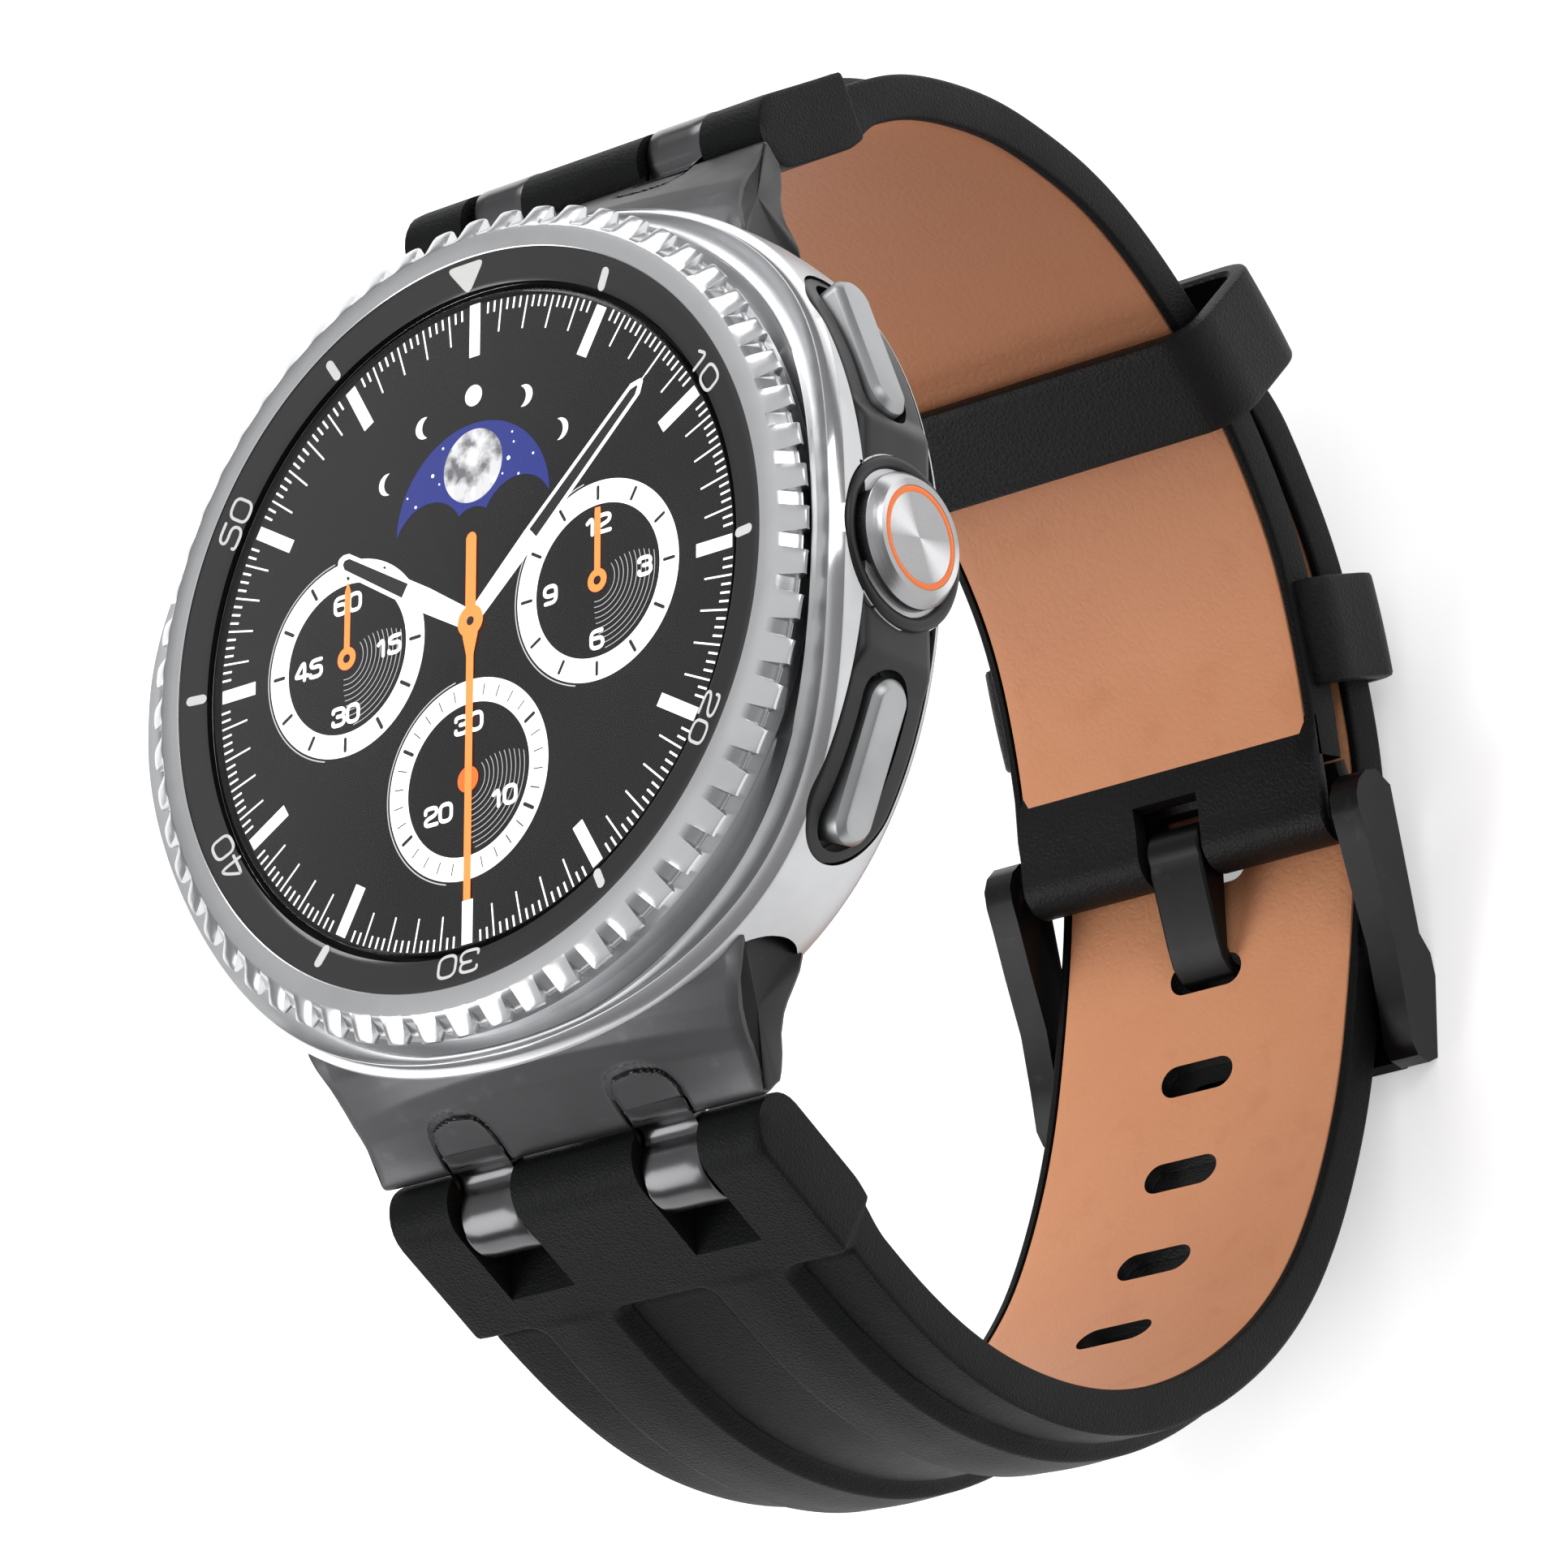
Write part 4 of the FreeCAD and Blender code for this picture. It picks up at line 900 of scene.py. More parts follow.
# ----------------------------------------------------------- buckle and tongue
def softened(node, body, finish, width):
    """Copy of a CAD node, its doubles merged, with small rounded edges."""
    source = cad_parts[node]
    mesh = source.data.copy()
    mesh.name = node + "_soft"
    item = bpy.data.objects.new(node + "_soft", mesh)
    bpy.context.scene.collection.objects.link(item)
    shell = bmesh.new()
    shell.from_mesh(mesh)
    bmesh.ops.remove_doubles(shell, verts=shell.verts, dist=2e-6)
    bmesh.ops.dissolve_limit(shell, angle_limit=math.radians(1.2), verts=shell.verts,
                             edges=shell.edges)
    shell.to_mesh(mesh)
    shell.free()
    mesh.materials.clear()
    mesh.materials.append(finish)
    shade(mesh, 35.0)
    rounded_edges(item, width, 3, 30.0)
    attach(item, body)
    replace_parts(item, node)
    return item


softened("buckle_frame", "buckle", FINISH["buckle"], 0.30)
softened("buckle_tongue", "tongue", FINISH["buckle"], 0.25)


# -------------------------------------------------------------------- mid-case
def block_cutter(x0, x1, y0, y1, z0, z1):
    """Box between two corners, as a closed shape."""
    loops = [[(x0, y0, z), (x1, y0, z), (x1, y1, z), (x0, y1, z)] for z in (z0, z1)]
    return capped_tube(np.array(loops, float))


def carve(target, cutters, crisp=42.0, inside=None):
    """Cut closed shapes out of a piece; the cut walls may take their own finish."""
    gather = Prints()
    for points, faces in cutters:
        gather.add(points, faces)
    mesh = bpy.data.meshes.new("cutter")
    place = np.vstack(gather.points) * MM + DIAL
    mesh.from_pydata(place.tolist(), [], gather.faces)
    outward_faces(mesh)
    mesh.materials.append(target.data.materials[0])
    if inside:
        mesh.materials.append(inside)
        target.data.materials.append(inside)
        mesh.polygons.foreach_set("material_index", np.ones(len(mesh.polygons), np.int32))
    tool = bpy.data.objects.new("cutter", mesh)
    bpy.context.scene.collection.objects.link(tool)
    cut = target.modifiers.new("cut", "BOOLEAN")
    cut.operation = "DIFFERENCE"
    cut.solver = "MANIFOLD"
    cut.object = tool
    bpy.context.view_layer.update()
    result = bpy.data.meshes.new_from_object(
        target.evaluated_get(bpy.context.evaluated_depsgraph_get()))
    target.modifiers.clear()
    target.data = result
    shade(result, crisp)
    bpy.data.objects.remove(tool)


def case_outline(turn):
    """Cushion outline: mean radius with a slight 3-9 oval and fuller corners."""
    return 22.9 + 0.4 * np.cos(2 * turn) - 0.4 * np.cos(4 * turn)


def saddle(across):
    """Height of the case's shoulder: high beside 3 and 9, easing down towards 12 and 6."""
    return -0.60 - 2.24 * smooth_step((np.abs(across) - 1.0) / 17.0)


def case_shell():
    """Mid-case: radius and height on a grid of angle by profile station.

    From the inner throat the profile runs over the bezel seat, up the pocket wall, across
    the dished satin shoulder, down the polished chamfer and the side wall, round the lower
    edge and back inside.
    """
    turn = np.linspace(0, 2 * math.pi, 720, endpoint=False)
    outline = case_outline(turn)
    ridge = outline - 0.46
    shoulder = saddle(ridge * np.sin(turn))
    seat = -1.95
    floor = np.minimum(seat, shoulder)
    wall = np.minimum(21.40, ridge - 0.45)
    lip = smooth_step((shoulder - seat) / 0.25) * 0.06
    hollow = smooth_step((ridge - wall - 0.1) / 0.7)
    one = np.ones_like(turn)
    rows, shine = [], []

    def station(radius, height, polish=0.0):
        """Add one profile station; polish over 0.5 on both sides of a strip brightens it."""
        rows.append(np.stack([radius * np.cos(turn), radius * np.sin(turn), height * one], -1))
        shine.append(polish)

    station(18.9 * one, -9.55)
    station(18.9 * one, -2.72)
    station(18.05 * one, -2.70)
    station(18.05 * one, seat - 0.02)
    station(18.2 * one, seat)
    station(20.5 * one, seat)
    station(20.6 * one, floor - 0.001)
    station(wall - 0.03, floor)
    station(wall, floor + 0.004)
    station(wall + 0.003, np.maximum(shoulder + lip - 0.03, floor + 0.008), 0.6)
    station(wall + 0.04, np.maximum(shoulder + lip, floor + 0.012), 0.8)
    station(wall + 0.10, np.maximum(shoulder + lip * 0.6, floor + 0.010), 0.3)
    for share in (0.2, 0.35, 0.5, 0.65, 0.8, 0.92):
        dish = -0.20 * math.sin(math.pi * share) * hollow
        station(wall + (ridge - wall) * share, shoulder + dish)
    station(ridge - 0.02, shoulder - 0.002)
    drop = 0.74
    station(ridge + 0.025, shoulder - 0.03, 1.0)
    station((ridge + outline) / 2, shoulder - drop / 2 - 0.01, 1.0)
    station(outline - 0.02, shoulder - drop + 0.03, 1.0)
    start = shoulder - drop - 0.03
    station(outline + 0.005, start)
    for share in (0.06, 0.15, 0.3, 0.5, 0.7, 0.85, 1.0):
        height = start + (-8.7 - start) * share
        station(outline + 0.10 * math.sin(math.pi * min(share * 1.1, 1.0)) - 0.18 * share ** 3,
                height)
    station(outline - 0.42, -9.08)
    station(outline - 0.80, -9.36)
    station(outline - 1.30, -9.56)
    station(outline - 1.60, -9.60)
    loops = np.stack(rows)
    shell = piece("mid_case", loops.reshape(-1, 3), grid(len(rows), len(turn), True, True),
                  "watch", FINISH["case"], "satin_metal", 30.0)
    bright = [polish > 0.5 and after > 0.5 for polish, after in zip(shine, shine[1:] + shine[:1])]
    shell.data.materials.append(FINISH["chamfer"])
    shell.data.polygons.foreach_set("material_index", np.repeat(bright, len(turn)).astype(np.int32))
    carve(shell, [guard_loops(1.6, 3.0, 0.06), crown_well(4.45, 19.9), lug_slot(1.0),
                  lug_slot(-1.0)], 30.0)
    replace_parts(shell, "case_body")
    return shell


def lug_slot(sign):
    """Round-ended slot in the case wall that an end link sits in."""
    turn = np.radians(np.linspace(-90, 90, 21))
    right = np.column_stack([12.6 + 2.1 * np.cos(turn), -6.55 + 2.45 * np.sin(turn)])
    outline = np.vstack([right, right[::-1] * [-1, 1]])
    loops = [np.column_stack([outline[:, 0], np.full(len(outline), sign * depth),
                              outline[:, 1]]) for depth in (15.5, 30.0)]
    return capped_tube(np.stack(loops))


# ------------------------------------------------------- guard, buttons, crown
BUTTON_Z = -5.7
PUSHER_FACE, PUSHER_Y, PUSHER_TURN = 21.15, 10.9, math.radians(21.4)
PUSHER_LONG, PUSHER_TALL = 8.3, 2.5
CROWN_FACE = 23.95
GUARD_REACH, GUARD_TALL = 15.15, 2.85


def pusher_outline(long, tall, count=48):
    """Round-ended outline (local y, z) of a pusher, long by tall."""
    turn = np.linspace(0, 2 * math.pi, count, endpoint=False) + 0.001
    straight = (long - tall) / 2 * np.sign(np.cos(turn))
    return np.column_stack([straight + tall / 2 * np.cos(turn), tall / 2 * np.sin(turn)])


def pusher_stack(side, levels):
    """Tube along a pusher's axis: levels are (depth behind the face, outline inset)."""
    loops = []
    for depth, inset in levels:
        flat = pusher_outline(PUSHER_LONG - 2 * inset, PUSHER_TALL - 2 * inset)
        turn = PUSHER_TURN * side
        x = PUSHER_FACE + depth * math.cos(turn) - flat[:, 0] * math.sin(turn)
        y = PUSHER_Y * side + depth * math.sin(turn) + flat[:, 0] * math.cos(turn)
        loops.append(np.column_stack([x, y, flat[:, 1] + BUTTON_Z]))
    return capped_tube(np.stack(loops))


def pusher(label, side, body):
    """Round-ended pusher: straight side, broad chamfer and a faintly domed face."""
    levels = [(-3.4, 0.2), (-3.2, 0.0), (-0.40, 0.0), (-0.36, 0.015), (-0.02, 0.33),
              (0.0, 0.37), (0.03, 0.55), (0.05, 0.8), (0.06, 1.1)]
    cap = piece("pusher_cap_" + label, *pusher_stack(side, levels), body, FINISH["button"],
                "satin_metal", 24.0)
    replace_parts(cap, "pusher_" + label)


def guard_loops(depth, lift, spare):
    """Loops of the guard: a round-ended band along the case wall that swells at the crown.

    Stations run along y; each is a rounded box from inside the case wall to the guard's
    outer face.  The half height closes in a semicircle at both ends, and a blend of y lifts
    the outer face from the band's level to the boss.
    """
    reach, tall = GUARD_REACH + spare, GUARD_TALL + spare
    bend = reach - tall * (1 - np.sin(np.linspace(0, math.pi / 2 * 0.985, 24)))
    across = np.concatenate([np.linspace(0, reach - tall, 90)[:-1], bend])
    across = np.concatenate([-across[:0:-1], across])
    closing = np.clip((np.abs(across) - (reach - tall)) / tall, 0, 0.9997)
    half = tall * np.sqrt(1 - closing ** 2)
    outline = case_outline(np.arcsin(np.clip(across / 23.2, -1, 1)))
    wall = np.sqrt(outline ** 2 - across ** 2)
    boss = 1.0 - smooth_step((np.abs(across) - 5.7) / 1.5)
    outer = wall - 0.05 + (22.65 - wall) * boss + lift
    corner = np.minimum(0.35 + 0.45 * boss, half * 0.6)
    turn = np.linspace(0, math.pi / 2, 7)
    loops = []
    for y, x0, x1, h, r in zip(across, wall - depth, outer, half, corner):
        low = np.column_stack([x1 - r + r * np.sin(turn), -h + r - r * np.cos(turn)])
        high = np.column_stack([x1 - r + r * np.cos(turn), h - r + r * np.sin(turn)])
        section = np.vstack([[(x0, -h)], low, [(x1, -h * 0.3), (x1, h * 0.3)], high, [(x0, h)]])
        loops.append(np.column_stack([section[:, 0], np.full(len(section), y),
                                      section[:, 1] + BUTTON_Z]))
    return capped_tube(np.stack(loops))


def guard_shell():
    """The guard with its two pusher wells and its crown well."""
    guard = piece("guard_band", *guard_loops(1.45, 0.0, 0.0), "watch", FINISH["guard"],
                  "guard_black", 35.0)
    carve(guard, [pusher_stack(side, [(-4.5, -0.42), (3.0, -0.42)]) for side in (1, -1)], 35.0)
    carve(guard, [crown_well(3.62, 20.0)], 35.0)
    return guard


def about_crown(profile, count=128):
    """Closed ring: a closed (x, radius) profile turned about the crown's axis."""
    profile = np.asarray(profile, float)
    turn = np.linspace(0, 2 * math.pi, count, endpoint=False)
    x = np.broadcast_to(profile[:, 0][:, None], (len(profile), count))
    points = np.stack([x, profile[:, 1][:, None] * np.cos(turn),
                       BUTTON_Z + profile[:, 1][:, None] * np.sin(turn)], -1)
    return points.reshape(-1, 3), grid(len(profile), count, True, True)


def crown_well(radius, start):
    """Round well for the crown, from x = start outwards."""
    turn = np.linspace(0, 2 * math.pi, 96, endpoint=False)
    loops = [np.column_stack([np.full(96, x), radius * np.cos(turn),
                              BUTTON_Z + radius * np.sin(turn)]) for x in (start, 30.0)]
    return capped_tube(np.stack(loops))


def crown_parts():
    """Collar round the crown, and the crown: chamfered drum, spun centre and inlay; the drum's
    finish carries painted highlight and shade in sectors round its axis.
    """
    collar = about_crown([(20.6, 4.25), (22.4, 4.40), (22.80, 4.36), (22.98, 4.20), (23.0, 4.00),
                          (22.92, 3.76), (22.6, 3.62), (20.6, 3.62)])
    ring = piece("crown_collar", *collar, "watch", FINISH["guard"], "guard_black", 50.0)
    face = CROWN_FACE
    drum = about_crown([(20.9, 0.4), (20.9, 3.30), (21.1, 3.40), (face - 0.62, 3.42),
                        (face - 0.58, 3.40), (face - 0.04, 3.02), (face, 2.96), (face, 2.62),
                        (face - 0.10, 2.60), (face - 0.10, 2.30), (face - 0.02, 2.28),
                        (face - 0.05, 1.4), (face - 0.06, 0.5), (face - 0.06, 0.02),
                        (face - 0.3, 0.02), (20.95, 0.02)])
    crown = piece("crown_drum", *drum, "crown", FINISH["spun"], "satin_metal", 24.0)
    inlay = about_crown([(face - 0.16, 2.26), (face - 0.03, 2.28), (face + 0.01, 2.34),
                         (face + 0.01, 2.56), (face - 0.03, 2.61), (face - 0.16, 2.63)])
    band = piece("crown_inlay", *inlay, "crown", FINISH["orange"], "accent_orange", 40.0)
    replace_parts(crown, "crown_button")
    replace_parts(band, "crown_ring")
    return ring


case_shell()
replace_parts(guard_shell(), "guard_housing")
crown_parts()
pusher("home", 1.0, "home_button")
pusher("back", -1.0, "back_button")


# ------------------------------------------------------- end links and hooks
BAR = (26.8, -10.4)
HOOK_X, HOOK_HALF = 5.9, 1.95


def link_front(across, out):
    """Height of a link's front face: steeper at the middle, flatter towards the flared ends."""
    middle = np.interp(out, [20.4, 21.3, 22.1, 22.9, 23.7, 24.4, 24.95],
                       [-2.7, -3.15, -3.75, -4.75, -5.95, -7.0, -7.75])
    end = np.interp(out, [18.0, 19.2, 20.2, 21.2, 22.2, 23.1, 24.1, 24.95],
                    [-3.8, -4.15, -4.6, -5.2, -5.95, -6.75, -7.35, -7.75])
    blend = np.clip(np.abs(across) / 13.0, 0, 1) ** 2
    return middle + (end - middle) * blend


def tab_gap(across, out):
    """Distance from the rounded outline of the nearest hook tab, negative inside it."""
    a = np.abs(np.abs(across) - HOOK_X) - HOOK_HALF + 0.7
    b = 23.15 + 0.08 * (np.abs(across) - HOOK_X) ** 2 - out + 0.7
    return np.hypot(np.maximum(a, 0), np.maximum(b, 0)) + np.minimum(np.maximum(a, b), 0) - 0.7


def end_link(label, sign):
    """End link: front face with hook-tab seams, rounded lower lip, cheeks and back.

    A grid of stations across the watch by profile rows; the half width grows towards the
    case, so the cheeks flare into the slot in the case wall.
    """
    unit = np.concatenate([[-1.0, -0.994, -0.975], np.linspace(-0.95, 0.95, 300),
                           [0.975, 0.994, 1.0]])
    rows = []
    shrink = np.interp(np.abs(unit), [0.97, 0.994, 1.0], [0.0, 0.10, 0.30])

    def width(out):
        """Half width of the link at a distance from the dial axis."""
        return np.interp(out, [17.6, 18.6, 19.4, 20.3, 21.4, 22.6, 24.0, 25.2],
                         [14.1, 14.15, 13.8, 13.3, 12.9, 12.62, 12.45, 12.4])

    top = np.sqrt(np.maximum(21.9 ** 2 - (unit * 13.6) ** 2, 0.0))
    for share in np.linspace(0, 1, 46):
        out = top + (24.85 - top) * share
        across = unit * width(out)
        height = link_front(across, out)
        gap = tab_gap(across, out)
        groove = -0.28 * np.exp(-(gap / 0.10) ** 4)
        lips = 0.05 * np.exp(-((np.abs(gap) - 0.17) / 0.07) ** 2)
        rows.append((across, out, height + (groove + lips) - shrink))
    for out, height in ((25.02, -7.88), (25.06, -8.02), (25.0, -8.2), (24.8, -8.42),
                        (24.45, -8.75), (24.2, -9.05)):
        across = unit * width(np.array(out))
        rows.append((across, out - shrink * 0.6, height + shrink * 0.2))
    for out, height in ((23.6, -9.2), (22.8, -9.15), (21.9, -8.85), (21.0, -8.72)):
        across = unit * width(np.array(out))
        rows.append((across, out, height + shrink))
    for share in np.linspace(0, 1, 6):
        out = 20.4 + (top - 0.35 - 20.4) * share
        across = unit * width(out)
        rows.append((across, out, -8.75 - 0.15 * share + shrink))
    loops = []
    for across, out, height in rows:
        loops.append(np.stack(np.broadcast_arrays(across, out * sign, height), -1))
    points, faces = capped_tube(np.stack(loops, 1))
    link = piece("link_body_" + label, points, faces, "watch", FINISH["link"], "link_black", 30.0)
    link.data.materials.append(FINISH["buckle"])
    cheek = np.zeros(len(link.data.polygons), np.int32)
    cheek[-2 * len(rows):] = 1
    link.data.polygons.foreach_set("material_index", cheek)
    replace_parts(link, "end_link_" + label)


def hook(sign, middle):
    """One hook: a plate that leaves the link, dips, and wraps over the strap bar."""
    turn = np.radians(np.linspace(118, -62, 22))
    over = np.column_stack([BAR[0] + 2.0 * np.cos(turn), BAR[1] + 2.0 * np.sin(turn)])
    outer = np.vstack([[(24.45, -7.1), (24.72, -7.42), (24.92, -7.70), (25.02, -7.95),
                        (25.14, -8.28), (25.32, -8.52), (25.58, -8.62)], over])
    inner = np.array([(27.25, -11.55), (26.8, -11.35), (26.0, -10.9), (25.6, -10.2),
                      (25.25, -9.6), (24.8, -9.2), (24.3, -8.6), (24.0, -7.9)])
    profile = np.vstack([outer, inner])
    unit = np.array([-1.0, -0.985, -0.95, -0.88, -0.5, 0.0, 0.5, 0.88, 0.95, 0.985, 1.0])
    sink = np.array([0.26, 0.12, 0.04, 0.0, 0.0, 0.0, 0.0, 0.0, 0.04, 0.12, 0.26])
    ahead = np.roll(profile, -1, 0) - np.roll(profile, 1, 0)
    ahead /= np.linalg.norm(ahead, axis=1)[:, None]
    inward = np.column_stack([ahead[:, 1], -ahead[:, 0]])
    if np.sum(inward * (profile - profile.mean(0))) > 0:
        inward = -inward
    narrow = 1.0 - 0.05 * np.exp(-((profile[:, 0] - 26.2) / 1.1) ** 2)
    loops = []
    for share, depth in zip(unit, sink):
        flat = profile + inward * depth
        loops.append(np.column_stack([middle + share * HOOK_HALF * narrow, flat[:, 0] * sign,
                                      flat[:, 1]]))
    return capped_tube(np.stack(loops))


def hooks(label, sign):
    """The pair of hooks on one link."""
    pair = Prints()
    for middle in (HOOK_X, -HOOK_X):
        pair.add(*hook(sign, middle))
    item = pair.piece("hooks_" + label, "watch", FINISH["hook"], "link_black", crisp=40.0)
    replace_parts(item, "strap_hooks_" + label)


end_link("upper", 1.0)
end_link("lower", -1.0)
hooks("upper", 1.0)
hooks("lower", -1.0)


# ----------------------------------------------------------------------- strap
SHORT_LINE = [(27.6, -11.9), (29.5, -15.2), (32.0, -19.8), (33.35, -24.8), (33.75, -28.9),
              (33.5, -32.6), (32.8, -36.5), (31.5, -40.0), (29.7, -43.3), (27.3, -46.7),
              (24.8, -49.5), (21.6, -52.3), (17.9, -54.7), (14.2, -56.2), (10.2, -57.3),
              (6.9, -57.95)]
LONG_LINE = [(-27.6, -11.9), (-29.5, -15.2), (-32.0, -19.8), (-34.1, -25.4), (-34.85, -31.1),
             (-34.3, -37.4), (-32.5, -42.8), (-29.8, -47.6), (-26.3, -51.9), (-22.0, -55.4),
             (-16.6, -58.1), (-10.9, -59.95), (-5.0, -61.05), (0.0, -61.7), (3.9, -61.95),
             (8.0, -61.65), (12.4, -60.55), (17.9, -58.4), (22.9, -55.15), (26.7, -51.6),
             (29.2, -48.7), (30.3, -47.3)]
NOSE, NOSE_FROM = 1.95, 2.4
BLOCK_END = 4.2
RIDGE_HEIGHT = 0.78
PIN_POINT = (-2.9, -61.35)
SLOT_PITCH = 6.3
TIP_REACH = 9.0
PATTERN_HALF = 11.35
EDGE_REACH, EDGE_DROP = 0.27, 0.30
BACK_EDGE = 0.2


class Line:
    """Smooth line in the YZ plane through stations, measured by its own length."""

    def __init__(self, stations, side):
        stations = np.asarray(stations, float)
        chord = np.concatenate([[0], np.cumsum(np.hypot(*np.diff(stations, axis=0).T))])
        count = len(stations)
        matrix = np.zeros((count, count))
        right = np.zeros((count, 2))
        step = np.diff(chord)
        matrix[0, 0] = matrix[-1, -1] = 1.0
        for index in range(1, count - 1):
            matrix[index, index - 1:index + 2] = [step[index - 1],
                                                  2 * (step[index - 1] + step[index]),
                                                  step[index]]
            right[index] = 6 * ((stations[index + 1] - stations[index]) / step[index]
                                - (stations[index] - stations[index - 1]) / step[index - 1])
        bend = np.linalg.solve(matrix, right)
        fine = np.linspace(0, chord[-1], 2400)
        span = np.clip(np.searchsorted(chord, fine, "right") - 1, 0, count - 2)
        width = step[span][:, None]
        after = (fine - chord[span])[:, None]
        before = width - after
        self.path = ((bend[span] * before ** 3 + bend[span + 1] * after ** 3) / (6 * width)
                     + (stations[span] / width - bend[span] * width / 6) * before
                     + (stations[span + 1] / width - bend[span + 1] * width / 6) * after)
        self.along = np.concatenate([[0], np.cumsum(np.hypot(*np.diff(self.path, axis=0).T))])
        self.length = self.along[-1]
        self.side = side

    def at(self, distance):
        """Points and outward normals at distances; beyond the ends the line runs straight."""
        distance = np.asarray(distance, float)
        inside = np.clip(distance, 0, self.length)
        place = np.column_stack([np.interp(inside, self.along, self.path[:, 0]),
                                 np.interp(inside, self.along, self.path[:, 1])])
        ahead = np.clip(inside + 0.2, 0, self.length)
        behind = np.clip(inside - 0.2, 0, self.length)
        run = np.column_stack([np.interp(ahead, self.along, self.path[:, 0])
                               - np.interp(behind, self.along, self.path[:, 0]),
                               np.interp(ahead, self.along, self.path[:, 1])
                               - np.interp(behind, self.along, self.path[:, 1])])
        run /= np.linalg.norm(run, axis=1)[:, None]
        place = place + run * (distance - inside)[:, None]
        normal = np.column_stack([run[:, 1], -run[:, 0]]) * self.side
        return place, normal

    def distance_to(self, point):
        """Length along the line to the station nearest a point."""
        gap = np.hypot(self.path[:, 0] - point[0], self.path[:, 1] - point[1])
        return self.along[int(np.argmin(gap))]


SHORT, LONG = Line(SHORT_LINE, -1.0), Line(LONG_LINE, 1.0)


def half_width(height):
    """Strap half width against the height of a point, from the lugs to the buckle."""
    return np.interp(-height, [16.0, 56.0], [11.62, 10.25])


def sunk(across, distance):
    """How far a point lies inside the sunk panels beside and between the two ridges.

    The panels are rounded rectangles: one between the ridges and one along each edge.
    """
    corner = 0.9
    end = BLOCK_END - distance

    def inside(gap):
        """Distance outside one rounded rectangle, negative within it."""
        a, b = gap + corner, end + corner
        return (np.hypot(np.maximum(a, 0), np.maximum(b, 0)) + np.minimum(np.maximum(a, b), 0)
                - corner)

    return -np.minimum(inside(np.abs(across) - 3.3), inside(7.75 - np.abs(across)))


def strap_stations(stop):
    """Distances along a strap, closer together at the rolled end and its step."""
    nose = -NOSE_FROM - NOSE * np.sin(np.radians([86, 78, 68, 56, 42, 28, 14]))
    block = np.arange(-NOSE_FROM, 2.6, 0.45)
    step = np.arange(2.75, 6.4, 0.14)
    rest = np.arange(6.6, stop, 0.62)
    return np.concatenate([nose, block, step, rest, [stop - 0.3, stop - 0.1, stop]])


def tip_share(remaining):
    """Share of the full width near the rounded tip, by the length of strap that remains."""
    remaining = np.clip(remaining, 0, None)
    return 0.45 + 0.55 * np.sqrt(np.clip(1 - (1 - np.clip(remaining / TIP_REACH, 0, 1)) ** 2,
                                         0.0, 1))


def strap_column(place, normal, across, height):
    """Points along a strap at a sideways offset and a height above its line."""
    return np.column_stack([across, place[:, 0] + normal[:, 0] * height,
                            place[:, 1] + normal[:, 1] * height])


